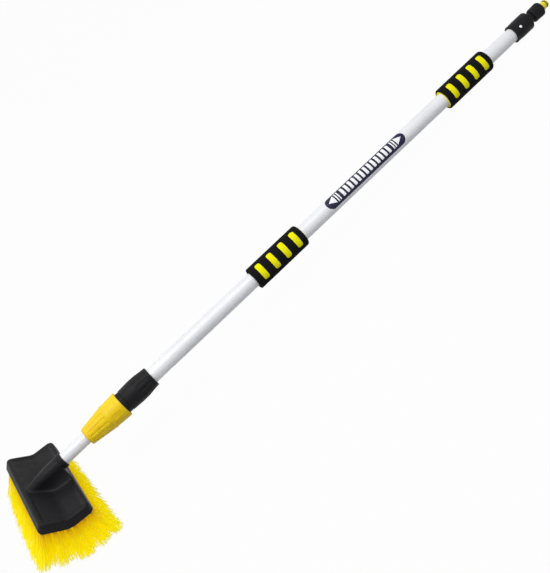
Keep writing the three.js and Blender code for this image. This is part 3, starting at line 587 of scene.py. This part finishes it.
def lockCollar():
    size = collarSizes
    start, end, _ = spanOf("lock_collar")
    length = end - start
    step = start + length * size["stepShare"]
    ribStart, ribEnd = [start + share * length for share in size["ribPlaces"]]
    pocketStart, pocketEnd = [start + share * length for share in size["pocketPlaces"]]
    stepEnd = step + size["stepWidth"]
    frontRadius = straightTaper(start, size["noseRadius"], step, size["middleRadius"])
    tailRadius = straightTaper(stepEnd, size["middleRadius"], end, size["tailRadius"])
    cone, thread = start + size["noseWall"], start + size["noseWall"] + size["coneLength"]
    outline = [
        (start, size["bore"], size["lip"]),
        (cone, size["bore"]),
        (cone, size["coneMouth"]),
        (thread, size["coneTail"]),
        (thread, size["threadRadius"]),
        (end - size["mouthDepth"], size["threadRadius"]),
        (end - size["mouthDepth"], size["mouthRadius"]),
        (end, size["mouthRadius"], size["lip"]),
        (end, size["tailRadius"], size["endRound"]),
        (pocketEnd, tailRadius(pocketEnd)),
        (pocketStart, tailRadius(pocketStart)),
        (stepEnd, size["middleRadius"]),
        (stepEnd, size["middleRadius"] + size["stepHeight"], size["stepRound"]),
        (step, size["middleRadius"] + size["stepHeight"], size["stepRound"]),
        (step, size["middleRadius"]),
        (ribEnd, frontRadius(ribEnd)),
        (ribStart, frontRadius(ribStart)),
        (start, size["noseRadius"], size["endRound"]),
    ]
    piece = turnedPiece("lockCollar", outline, size["sides"])
    sinkPanels(piece, ribStart, ribEnd, size["sides"], **size["ribs"])
    sinkPanels(piece, pocketStart, pocketEnd, size["sides"], **size["pockets"])
    softenEdges(piece, size["edge"])
    finishPiece(piece, "lock_collar", "lock_collar", "yellow_plastic")


lockCollar()


# Twist lock: black body on the end of the outer tube
barrelSizes = {
    "neckRadius": 19.8 * mm, "neckLength": 23.65 * mm, "spigotRadius": 16.6 * mm, "colletBore": 13.5 * mm,
    "colletSeat": 27.5 * mm, "bore": 14.3 * mm, "innerBore": 11.35 * mm,
    "length": 58.7 * mm, "radii": [20.6, 21.7, 21.5, 19.8, 19], "places": [0, 0.38, 0.6, 0.83, 1],
    "tubeSeat": 3 * mm, "dish": 2 * mm, "sides": 98,
    "ribs": {"count": 14, "width": 4, "margin": 0.5 * mm, "depth": 0.8 * mm}, "ribPlaces": (0.47, 0.92),
    "mouthRound": 1.2 * mm, "shoulderRound": 1.4 * mm, "edge": 0.35 * mm,
}


def lockBody():
    size = barrelSizes
    start, end, _ = spanOf("lock_body")
    shoulder = end - size["length"]
    ribStart, ribEnd = [shoulder + size["length"] * share for share in size["ribPlaces"]]
    barrel = [
        (shoulder + size["length"] * share, radius * mm) for share, radius in zip(size["places"], size["radii"])
    ]

    def barrelRadius(place):
        for (before, low), (after, high) in zip(barrel, barrel[1:]):
            if before <= place <= after:
                return straightTaper(before, low, after, high)(place)

    surface = sorted(barrel[1:-1] + [(place, barrelRadius(place)) for place in (ribStart, ribEnd)])
    colletSeat = shoulder - size["colletSeat"]
    neckFront = shoulder - size["neckLength"]
    tubeSeat = shoulder + size["tubeSeat"]
    outline = [
        (start, size["colletBore"]),
        (colletSeat, size["colletBore"]),
        (colletSeat, size["innerBore"]),
        (tubeSeat, size["innerBore"]),
        (tubeSeat, size["bore"]),
        (end - size["dish"], size["bore"]),
        (end, (size["bore"] + barrel[-1][1]) / 2),
        (end, barrel[-1][1], size["mouthRound"]),
        *reversed(surface),
        (shoulder, barrel[0][1], size["shoulderRound"]),
        (shoulder, size["neckRadius"]),
        (neckFront, size["neckRadius"]),
        (neckFront, size["spigotRadius"]),
        (start, size["spigotRadius"]),
    ]
    piece = turnedPiece("lockBody", outline, size["sides"])
    sinkPanels(piece, ribStart, ribEnd, size["sides"], **size["ribs"])
    softenEdges(piece, size["edge"])
    finishPiece(piece, "outer_pole", "lock_body", "black_plastic")


lockBody()
print("twist lock made")


# Foam grips: black sleeve with slots, and the yellow foam that shows through them
gripSizes = {
    "facing": 54, "outer": 21.8 * mm, "lining": 17.9 * mm, "bore": 14.3 * mm, "frontRound": 2.6 * mm,
    "rearRound": 4.5 * mm, "stripeWidth": 11.3 * mm, "stripeSpan": 31 * mm, "stripeCorner": 3.4 * mm,
    "places": [0.16, 0.39, 0.62, 0.85], "sink": 0.45 * mm, "clearance": 0.3 * mm, "endWall": 3 * mm,
    "cutFrom": 5 * mm, "cutPast": 2 * mm, "barFoot": 1 * mm, "barEdge": 0.8 * mm, "slotEdge": 0.5 * mm,
    "edgeAngle": 40,
}


def foamGrip(label, nodeName, endWall):
    size = gripSizes
    start, end, _ = spanOf(nodeName)
    length = end - start
    clearance = size["clearance"]
    cutEnd = size["outer"] + size["cutPast"]
    wall = [(start, size["bore"]), (start + endWall, size["bore"])] if endWall else []
    sleeve = turnedPiece(label + "Grip", [
        *wall,
        (start + endWall, size["lining"] + clearance),
        (end, size["lining"] + clearance),
        (end, size["outer"], size["rearRound"]),
        (start, size["outer"], size["frontRound"]),
    ])
    lining = turnedPiece(label + "GripLiner", [
        (start + endWall, size["bore"]), (end, size["bore"]),
        (end, size["lining"]), (start + endWall, size["lining"]),
    ])
    bars = []
    for share in size["places"]:
        place = start + length * share
        for facing in (size["facing"], size["facing"] + 180):
            cutter = roundedPrism(
                place, size["stripeWidth"] + 2 * clearance, size["stripeSpan"] + 2 * clearance,
                size["stripeCorner"] + clearance, size["cutFrom"], cutEnd, facing,
            )
            combine(sleeve, "DIFFERENCE", cutter)
            plan = roundedPrism(
                place, size["stripeWidth"], size["stripeSpan"], size["stripeCorner"], size["cutFrom"],
                cutEnd, facing,
            )
            bar = wallPatch("bar", plan, size["lining"] - size["barFoot"], size["outer"] - size["sink"])
            softenEdges(bar, size["barEdge"], size["edgeAngle"])
            bars.append(bar)
    softenEdges(sleeve, size["slotEdge"], size["edgeAngle"])
    liner = joinPieces(label + "GripLiner", [lining, *bars])
    finishPiece(sleeve, "outer_pole", nodeName, "black_foam")
    finishPiece(liner, "outer_pole", nodeName + "_liner", "yellow_foam")


foamGrip("lower", "lower_grip", gripSizes["endWall"])
foamGrip("upper", "upper_grip", 0)
print("grips made")


# Printed label: a capsule of film with plain arrows, bars and hatching, and no lettering
labelSizes = {
    "middle": 716.5 * mm, "length": 198 * mm, "width": 23.4 * mm, "facing": 36, "film": 0.1 * mm,
    "arrow": 9.6 * mm, "arrowPlace": 83 * mm, "bars": [74 * mm, 69 * mm], "bar": (2.6 * mm, 17.5 * mm),
    "hatchCount": 13, "hatchPitch": 9.8 * mm, "hatch": (5.8 * mm, 16.5 * mm), "marksFacing": 33,
    "endShare": 0.48, "barCorner": 0.6 * mm, "hatchCorner": 1 * mm, "planFrom": 1 * mm, "planTo": 20 * mm,
    "bite": 0.02 * mm, "inkShare": 1.6,
}


def printedLabel():
    size = labelSizes
    base = spanOf("outer_tube")[2] + tubeSizes["filmThickness"]
    low, high = size["planFrom"], size["planTo"]
    plan = roundedPrism(
        size["middle"], size["length"], size["width"], size["width"] * size["endShare"],
        low, high, size["facing"],
    )
    ground = wallPatch("label", plan, base - size["bite"], base + size["film"])
    paint(ground, navyInk)
    marks = []
    for side in (-1, 1):
        selectOnly()
        bpy.ops.mesh.primitive_circle_add(
            vertices=3, radius=size["arrow"], fill_type="NGON",
            location=(size["middle"] + side * size["arrowPlace"], 0, low), rotation=(0, 0, -side * math.pi / 2),
        )
        arrow = bpy.context.object
        applyPlace(arrow)
        editSelected(arrow, "FACE", lambda face: True)
        bpy.ops.mesh.extrude_region_move(TRANSFORM_OT_translate={"value": (0, 0, high - low)})
        makeSolid(arrow)
        arrow.matrix_world = Matrix.Rotation(math.radians(size["marksFacing"]), 4, "X")
        applyPlace(arrow)
        marks.append(arrow)
        for place in size["bars"]:
            marks.append(roundedPrism(
                size["middle"] + side * place, *size["bar"], size["barCorner"], low, high, size["marksFacing"],
            ))
    for k in range(size["hatchCount"]):
        place = size["middle"] + (k - (size["hatchCount"] - 1) / 2) * size["hatchPitch"]
        marks.append(roundedPrism(place, *size["hatch"], size["hatchCorner"], low, high, size["marksFacing"]))
    patches = [
        wallPatch("mark", mark, base + size["film"] - size["bite"], base + size["inkShare"] * size["film"])
        for mark in marks
    ]
    for patch in patches:
        paint(patch, whiteInk)
    label = joinPieces("label", [ground, *patches])
    finishPiece(label, "outer_pole", None, "white_enamel", painted=True)


printedLabel()
print("label made")


# Hose end: cap, rivets, nut and nipple
capSizes = {
    "length": 44 * mm, "mouthRadius": 17.6 * mm, "radius": 18.5 * mm, "taper": 16 * mm, "bore": 14.3 * mm,
    "seat": 35 * mm, "waterBore": 5.5 * mm, "cone": 6.5 * mm, "stub": 10 * mm, "round": 1.6 * mm,
    "rivetPlace": 16 * mm, "rivetRadius": 2.9 * mm, "rivetHeight": 1.6 * mm, "rivetSeat": 18.25 * mm,
    "rivetFacing": 54, "rivetSides": 32, "shankLength": 4 * mm, "shankRadius": 1.7 * mm,
    "domeRound": 0.2 * mm, "lip": 0.4 * mm, "boreLip": 0.5 * mm, "coneRound": 1 * mm, "taperRound": 2 * mm,
}
# the rolled rim of the cap's mouth: place, radius past the mouth's and rounding
capRim = [(2.6 * mm, 0.1 * mm, 0.6 * mm), (1.9 * mm, 0.55 * mm, 0.3 * mm), (0, 0.45 * mm, 0.7 * mm)]
# the rivet's domed head: shares of its height and radius
rivetDome = [(0, 1), (0.3, 0.96), (0.7, 0.75), (1, 0.3)]


def endCap():
    size = capSizes
    start, stubEnd, _ = spanOf("end_cap")
    capEnd = start + size["length"]
    cone = capEnd + size["cone"]
    seat = start + size["seat"]
    piece = turnedPiece("endCap", [
        (start, size["bore"], size["boreLip"]),
        (seat, size["bore"]),
        (seat, size["waterBore"]),
        (stubEnd, size["waterBore"], size["lip"]),
        (stubEnd, size["stub"], size["lip"]),
        (cone, size["stub"], size["coneRound"]),
        (capEnd, size["radius"], size["round"]),
        (start + size["taper"], size["radius"], size["taperRound"]),
        *[(start + place, size["mouthRadius"] + past, rounding) for place, past, rounding in capRim],
    ])
    finishPiece(piece, "outer_pole", "end_cap", "black_plastic")
    for label, nodeName, turn in (("upper", "cap_rivet_upper", 0), ("lower", "cap_rivet_lower", 180)):
        facing = size["rivetFacing"] + turn
        radius, height = size["rivetRadius"], size["rivetHeight"]
        rivet = turnedPiece(label + "Rivet", [
            (-size["shankLength"], size["shankRadius"]),
            (0, size["shankRadius"]),
            *[(height * rise, radius * share, size["domeRound"]) for rise, share in rivetDome],
        ], size["rivetSides"], filled=True)
        # stood on its foot: from along the pole to straight out of it
        stand = Matrix.Rotation(math.radians(facing), 4, "X") @ Matrix.Rotation(-math.pi / 2, 4, "Y")
        outward = Matrix.Translation((start + size["rivetPlace"], 0, 0)) @ stand
        rivet.matrix_world = outward @ Matrix.Translation((size["rivetSeat"], 0, 0))
        applyPlace(rivet)
        finishPiece(rivet, "outer_pole", nodeName, "bare_steel")


endCap()

nutSizes = {
    "mouthRadius": 13.9 * mm, "radius": 14.8 * mm, "bore": 10.3 * mm, "endBore": 8.5 * mm, "endWall": 4 * mm,
    "sides": 96, "ribs": {"count": 16, "width": 3, "margin": 0.35 * mm, "depth": 0.7 * mm},
    "ribMargin": 6 * mm, "mouthRound": 3 * mm, "endRound": 4.6 * mm, "lip": 0.3 * mm, "edge": 0.25 * mm,
}


def connectorNut():
    size = nutSizes
    start, end, _ = spanOf("connector_nut")
    radiusAt = straightTaper(start, size["mouthRadius"], end, size["radius"])
    ribStart, ribEnd = start + size["ribMargin"], end - size["ribMargin"]
    piece = turnedPiece("connectorNut", [
        (start, size["bore"], size["lip"]),
        (end - size["endWall"], size["bore"]),
        (end - size["endWall"], size["endBore"]),
        (end, size["endBore"], size["lip"]),
        (end, size["radius"], size["endRound"]),
        (ribEnd, radiusAt(ribEnd)),
        (ribStart, radiusAt(ribStart)),
        (start, size["mouthRadius"], size["mouthRound"]),
    ], size["sides"])
    sinkPanels(piece, ribStart, ribEnd, size["sides"], **size["ribs"])
    softenEdges(piece, size["edge"])
    finishPiece(piece, "outer_pole", "connector_nut", "black_plastic")


connectorNut()

nippleSizes = {
    "bore": 4.5 * mm, "flange": 10 * mm, "flangeThickness": 2 * mm, "barrel": 8.2 * mm, "nose": 7 * mm,
    "barrelEnd": 10 * mm, "taper": 3.5 * mm, "groove": 5.85 * mm, "grooveWidth": 2.9 * mm, "lip": 2.8 * mm,
    "boreLip": 0.5 * mm, "noseRound": 1 * mm, "barrelRound": 0.4 * mm, "edge": 0.2 * mm, "sides": 64,
}


def hoseNipple():
    size = nippleSizes
    start, end, _ = spanOf("hose_nipple")
    flangeEnd = start + size["flangeThickness"]
    taper = end - size["barrelEnd"]
    grooveEnd = end - size["lip"]
    grooveStart = grooveEnd - size["grooveWidth"]
    piece = turnedPiece("hoseNipple", [
        (start, size["bore"]),
        (end, size["bore"], size["boreLip"]),
        (end, size["nose"], size["noseRound"]),
        (grooveEnd, size["nose"], size["edge"]),
        (grooveEnd, size["groove"]),
        (grooveStart, size["groove"]),
        (grooveStart, size["nose"], size["edge"]),
        (taper + size["taper"], size["nose"]),
        (taper, size["barrel"], size["barrelRound"]),
        (flangeEnd, size["barrel"]),
        (flangeEnd, size["flange"], size["edge"]),
        (start, size["flange"], size["edge"]),
    ], size["sides"])
    paint(piece, nippleYellow)
    finishPiece(piece, "outer_pole", "hose_nipple", "yellow_plastic", painted=True)


hoseNipple()
print("hose end made")


# Head: a bent cover with two dished faces and the pole's socket
headSizes = {
    "valley": Vector((-47.17, 0, -18.4)) * mm, "frontRise": 42.7, "rearRise": -7.5, "frontReach": 45.5 * mm,
    "rearReach": 38.5 * mm, "width": 207 * mm, "depth": 18 * mm, "corner": 10 * mm, "edge": 3 * mm,
    "border": 3.4 * mm, "dishSlope": 3.5 * mm, "dish": 1.3 * mm, "valleyRound": 16 * mm, "wall": 2.5 * mm,
    "rimAngle": 1.0, "rimRise": 0.6, "chamberReach": 3, "voxel": 1.0 * mm, "smoothing": 0.5, "softening": 2,
    "footSoftening": 80, "footReach": 34 * mm, "footFront": -12 * mm, "footDepths": (-15 * mm, 1.6 * mm),
}
socketSizes = {
    "radius": 13 * mm, "rimRadius": 14 * mm, "rimLength": 7 * mm, "rimBite": 1 * mm,
    "rimRounds": (1 * mm, 1.2 * mm), "bore": 11.3 * mm, "boreFrom": 3 * mm, "depth": 34 * mm,
    "sealBore": 8.5 * mm, "sealDepth": 51 * mm, "foot": 20.9 * mm, "bossFrom": -1, "sides": 64,
    "nose": [(-9.6, 1), (-35, 1), (-50, 0.88), (-62, 0.78), (-71, 0.68), (-76.2, 0.5)],
    "flank": [(0.33, 1.08), (0.62, 1.22), (0.85, 1.42), (1, 1.62), (1.07, 1.62)],
}


def faceAxes(rise, side):
    turn = math.radians(rise)
    along = Vector((side * math.cos(turn), 0, math.sin(turn)))
    down = Vector((side * math.sin(turn), 0, -math.cos(turn)))
    return along, down


frontAlong, frontDown = faceAxes(headSizes["frontRise"], -1)
rearAlong, rearDown = faceAxes(headSizes["rearRise"], 1)
halfBend = math.radians(headSizes["frontRise"] + headSizes["rearRise"]) / 2
valleyDown = (frontDown + rearDown).normalized()


def depthOf(point):
    inHead = point - headSizes["valley"]
    return max(inHead.dot(frontDown), inHead.dot(rearDown))


def bentBlock(name, setIn, depth, thickness):
    # two flat faces that meet in the valley, with rounded corners, thickened downwards
    size = headSizes
    valley = size["valley"] + valleyDown * depth / math.cos(halfBend)
    gain = depth * math.tan(halfBend) - setIn
    rearReach, frontReach = size["rearReach"] + gain, size["frontReach"] + gain
    width = size["width"] - 2 * setIn
    selectOnly()
    bpy.ops.mesh.primitive_plane_add(size=1)
    block = bpy.context.object
    block.name = block.data.name = name
    block.matrix_world = (
        Matrix.Translation(valley + rearAlong * rearReach / 2)
        @ Matrix.Rotation(-math.radians(size["rearRise"]), 4, "Y")
        @ Matrix.Diagonal((rearReach, width, 1, 1))
    )
    applyPlace(block)

    def inValley(vertex):
        return (vertex.co - valley).dot(rearAlong) < touch

    editSelected(block, "EDGE", lambda edge: all(inValley(vertex) for vertex in edge.verts))
    bpy.ops.mesh.extrude_region_move(TRANSFORM_OT_translate={"value": frontAlong * frontReach})
    bpy.ops.object.mode_set(mode="OBJECT")

    def isCorner(vertex):
        away = vertex.co - valley
        return max(away.dot(rearAlong) - rearReach, away.dot(frontAlong) - frontReach) > -touch

    editSelected(block, "VERT", isCorner)
    bpy.ops.mesh.bevel(offset=size["corner"] - setIn, segments=6, affect="VERTICES")
    bpy.ops.object.mode_set(mode="OBJECT")
    editSelected(
        block, "EDGE",
        lambda edge: all(abs(vertex.co.x - valley.x) < touch for vertex in edge.verts),
    )
    bpy.ops.mesh.bevel(offset=size["valleyRound"] * math.tan(halfBend), segments=8, affect="EDGES")
    bpy.ops.mesh.select_all(action="SELECT")
    bpy.ops.mesh.normals_make_consistent(inside=False)
    bpy.ops.object.mode_set(mode="OBJECT")
    if sum(polygon.normal.z for polygon in block.data.polygons) < 0:
        block.data.flip_normals()
    applyModifier(block, "SOLIDIFY", thickness=thickness, offset=-1, use_even_offset=True)
    makeSolid(block)
    return block


def headSkin():
    size = headSizes
    skin = bentBlock("headCover", 0, 0, size["depth"])

    def isTopRim(edge):
        if len(edge.link_faces) != 2 or edge.calc_face_angle() < size["rimAngle"]:
            return False
        return max(face.normal.z for face in edge.link_faces) > size["rimRise"]

    editSelected(skin, "EDGE", isTopRim)
    bpy.ops.mesh.bevel(offset=size["edge"], segments=5, affect="EDGES")
    bpy.ops.object.mode_set(mode="OBJECT")

    def isMainFace(face):
        # the flat top faces run over the whole width, so their middle is on the centre line
        onCentre = abs(face.calc_center_median().y) < 10 * touch
        return onCentre and all(depthOf(vertex.co) < 2 * touch for vertex in face.verts)

    editSelected(skin, "FACE", isMainFace)
    bpy.ops.mesh.inset(thickness=size["border"], depth=0)
    bpy.ops.mesh.inset(thickness=size["dishSlope"], depth=-size["dish"])
    bpy.ops.object.mode_set(mode="OBJECT")
    return skin


def socketWeb():
    # from the level of the pole's axis down to the valley, its flanks flaring into the faces
    size = socketSizes
    (start, _), *rest = [(place * mm, share) for place, share in size["nose"]]
    selectOnly()
    bpy.ops.mesh.primitive_plane_add(size=1, location=((start + rest[0][0]) / 2, 0, 0))
    web = bpy.context.object
    web.scale = (start - rest[0][0], 2 * size["radius"], 1)
    applyPlace(web)
    place, share = rest[0]
    for nextPlace, nextShare in rest[1:]:
        editSelected(web, "EDGE", lambda edge: all(abs(v.co.x - place) < touch for v in edge.verts))
        bpy.ops.mesh.extrude_region_move(TRANSFORM_OT_translate={"value": (nextPlace - place, 0, 0)})
        bpy.ops.transform.resize(value=(1, nextShare / share, 1), center_override=(nextPlace, 0, 0))
        bpy.ops.object.mode_set(mode="OBJECT")
        place, share = nextPlace, nextShare
    editSelected(web, "FACE", lambda face: True)
    fall, spread = 0, 1
    for nextFall, nextSpread in size["flank"]:
        drop = (nextFall - fall) * size["foot"]
        bpy.ops.mesh.extrude_region_move(TRANSFORM_OT_translate={"value": (0, 0, -drop)})
        bpy.ops.transform.resize(value=(1, nextSpread / spread, 1), center_override=(0, 0, 0))
        fall, spread = nextFall, nextSpread
    makeSolid(web)
    return web


def inFoot(point):
    low, high = headSizes["footDepths"]
    nearWeb = abs(point.y) < headSizes["footReach"] and point.x < headSizes["footFront"]
    return nearWeb and low < depthOf(point) < high


def headCover():
    size, socket = headSizes, socketSizes
    skin = headSkin()
    nose = [(socket["bossFrom"], 1), *socket["nose"]]
    nose = [(place * mm, share * socket["radius"]) for place, share in nose]
    boss = turnedPiece("boss", nose, socket["sides"], filled=True)
    rimFoot = socket["radius"] - socket["rimBite"]
    rearRound, frontRound = socket["rimRounds"]
    rim = turnedPiece("rim", [
        (-socket["rimLength"], rimFoot),
        (-socket["rimLength"], socket["rimRadius"], rearRound),
        (0, socket["rimRadius"], frontRound),
        (0, rimFoot),
    ], socket["sides"], filled=True)
    combine(skin, "UNION", socketWeb(), boss, rim)
    applyModifier(skin, "REMESH", mode="VOXEL", voxel_size=size["voxel"], use_smooth_shade=True)
    applyModifier(skin, "SMOOTH", factor=size["smoothing"], iterations=size["softening"])
    # the moulding's wide fillet where the web runs into the two faces
    foot = skin.vertex_groups.new(name="foot")
    foot.add([vertex.index for vertex in skin.data.vertices if inFoot(vertex.co)], 1, "REPLACE")
    applyModifier(
        skin, "SMOOTH", factor=size["smoothing"], iterations=size["footSoftening"], vertex_group="foot",
    )
    chamber = bentBlock("chamber", size["wall"], size["wall"], size["depth"] * size["chamberReach"])
    bore = turnedPiece("bore", [
        (socket["boreFrom"], socket["bore"]),
        (-socket["depth"], socket["bore"]),
        (-socket["depth"], socket["sealBore"]),
        (-socket["sealDepth"], socket["sealBore"]),
    ], filled=True)
    combine(skin, "DIFFERENCE", chamber, bore)
    finishPiece(skin, "brush_pole", "head_cover", "black_plastic")


headCover()
print("head made")


# Bristles: strands in tufts, tufts in rows on a slice of backing
bristleSizes = {
    "length": 65.5 * mm, "rootRadius": 0.5 * mm, "tipRadius": 0.3 * mm, "segments": 4, "bends": [0, 1.5, 3, 5],
    "strands": 84, "tuftRadius": 2.5 * mm, "splay": 4.6, "stray": 0.9, "twist": 1, "lengthSpread": 0.03,
    "columns": 16, "rows": 5, "endLean": (10, 5), "margin": 4.6 * mm, "innerLean": -14,
    "frontLeans": (-33, -41, -41), "rearLeans": (-1, 3, 9),
    "inner": -2.16 * mm, "innerMargin": 3 * mm, "inset": 2.8 * mm, "top": 15 * mm, "bite": 1.5 * mm,
    "corner": 2 * mm, "edge": 0.4 * mm, "edgeAngle": 40, "floorGap": 0.3 * mm, "tuftKinds": 4, "seed": 7,
}


def modelStrand(bend):
    # one strand, hanging from the origin, with a few millimetres of bend towards +X
    size = bristleSizes
    selectOnly()
    bpy.ops.mesh.primitive_circle_add(vertices=3, radius=size["rootRadius"], fill_type="NGON")
    strand = bpy.context.object
    bpy.ops.object.mode_set(mode="EDIT")
    bpy.ops.mesh.select_all(action="SELECT")
    shrink = (size["tipRadius"] / size["rootRadius"]) ** (1 / size["segments"])
    before = Vector((0, 0, 0))
    for k in range(1, size["segments"] + 1):
        share = k / size["segments"]
        middle = Vector((bend * mm * share ** 2, 0, -size["length"] * share))
        bpy.ops.mesh.extrude_region_move(TRANSFORM_OT_translate={"value": middle - before})
        bpy.ops.transform.resize(value=(shrink, shrink, 1), center_override=middle)
        before = middle
    makeSolid(strand)
    along = strand.data.attributes.new("along", "FLOAT", "POINT")
    for vertex, value in zip(strand.data.vertices, along.data):
        value.value = -vertex.co.z / size["length"]
    return strand


def copyAt(piece, place):
    copy = piece.copy()
    copy.data = piece.data.copy()
    scene.collection.objects.link(copy)
    copy.matrix_world = place
    return copy


def modelTuft(strandShapes, chance):
    size = bristleSizes
    strands = []
    for k in range(size["strands"]):
        spread = math.sqrt((k + 0.5) / size["strands"])
        around = chance.uniform(0, 2 * math.pi)
        lean = math.radians(size["splay"] * spread + chance.gauss(0, size["stray"]))
        stretch = 1 - abs(chance.gauss(0, size["lengthSpread"]))
        strands.append(copyAt(
            chance.choice(strandShapes),
            Matrix.Rotation(around, 4, "Z")
            @ Matrix.Translation((spread * size["tuftRadius"], 0, 0))
            @ Matrix.Rotation(-lean, 4, "Y")
            @ Matrix.Rotation(chance.gauss(0, size["twist"]), 4, "Z")
            @ Matrix.Diagonal((1, 1, stretch, 1)),
        ))
    tuft = joinPieces("tuft", strands)
    applyPlace(tuft)
    return tuft


def backingSlice(along, down, reach):
    size = bristleSizes
    outer = reach - size["inset"]
    length, width = outer - size["inner"], headSizes["width"] - 2 * size["inset"]
    thickness = headSizes["depth"] - size["top"]
    backing = roundedPrism(0, length, width, size["corner"], 0, thickness)
    softenEdges(backing, size["edge"], size["edgeAngle"])
    turn = Matrix((along, down.cross(along), down)).transposed().to_4x4()
    middle = headSizes["valley"] + along * (size["inner"] + outer) / 2 + down * size["top"]
    backing.matrix_world = Matrix.Translation(middle) @ turn
    applyPlace(backing)
    makeSolid(backing)
    paint(backing, finishes["black_plastic"])
    return backing


def bristleField(name, nodeName, along, down, reach, leans, tufts, chance):
    size = bristleSizes
    pieces = []
    first, last = size["inner"] + size["innerMargin"], reach - size["inset"] - size["margin"]
    halfLength = headSizes["width"] / 2 - size["inset"] - size["margin"]
    for row in range(size["rows"]):
        share = row / (size["rows"] - 1)
        stagger = row % 2
        for column in range(size["columns"] - stagger):
            place = (2 * column + stagger) / (size["columns"] - 1) - 1
            # the outer row's lean changes from end to end, as use has combed it
            outerLean = leans[1] + (leans[0 if place > 0 else 2] - leans[1]) * abs(place)
            lean = math.radians(size["innerLean"] + (outerLean - size["innerLean"]) * share)
            tilt = math.radians(size["endLean"][place > 0] * place)
            direction = Vector((
                math.sin(lean) * math.cos(tilt), math.sin(tilt), -math.cos(lean) * math.cos(tilt),
            ))
            root = headSizes["valley"] + along * (first + (last - first) * share)
            root += down * (headSizes["depth"] - size["bite"])
            root.y = place * halfLength
            turn = Vector((0, 0, -1)).rotation_difference(direction).to_matrix().to_4x4()
            pieces.append(copyAt(
                chance.choice(tufts),
                Matrix.Translation(root) @ turn @ Matrix.Rotation(chance.uniform(0, 2 * math.pi), 4, "Z"),
            ))
    field = joinPieces(name, pieces)
    applyPlace(field)
    paint(field, finishes["yellow_bristle"])
    field = joinPieces(name, [field, backingSlice(along, down, reach)])
    finishPiece(field, "brush_pole", nodeName, "yellow_bristle", painted=True)
    for vertex in field.data.vertices:
        vertex.co.z = max(vertex.co.z, size["floorGap"])  # tips press flat on the floor


chance = random.Random(bristleSizes["seed"])
strandShapes = [modelStrand(bend) for bend in bristleSizes["bends"]]
tufts = [modelTuft(strandShapes, chance) for _ in range(bristleSizes["tuftKinds"])]
bristleField(
    "frontBristles", "bristles_front", frontAlong, frontDown, headSizes["frontReach"],
    bristleSizes["frontLeans"], tufts, chance,
)
bristleField(
    "rearBristles", "bristles_rear", rearAlong, rearDown, headSizes["rearReach"],
    bristleSizes["rearLeans"], tufts, chance,
)
for model in strandShapes + tufts:
    bpy.data.objects.remove(model)
print("bristles made")
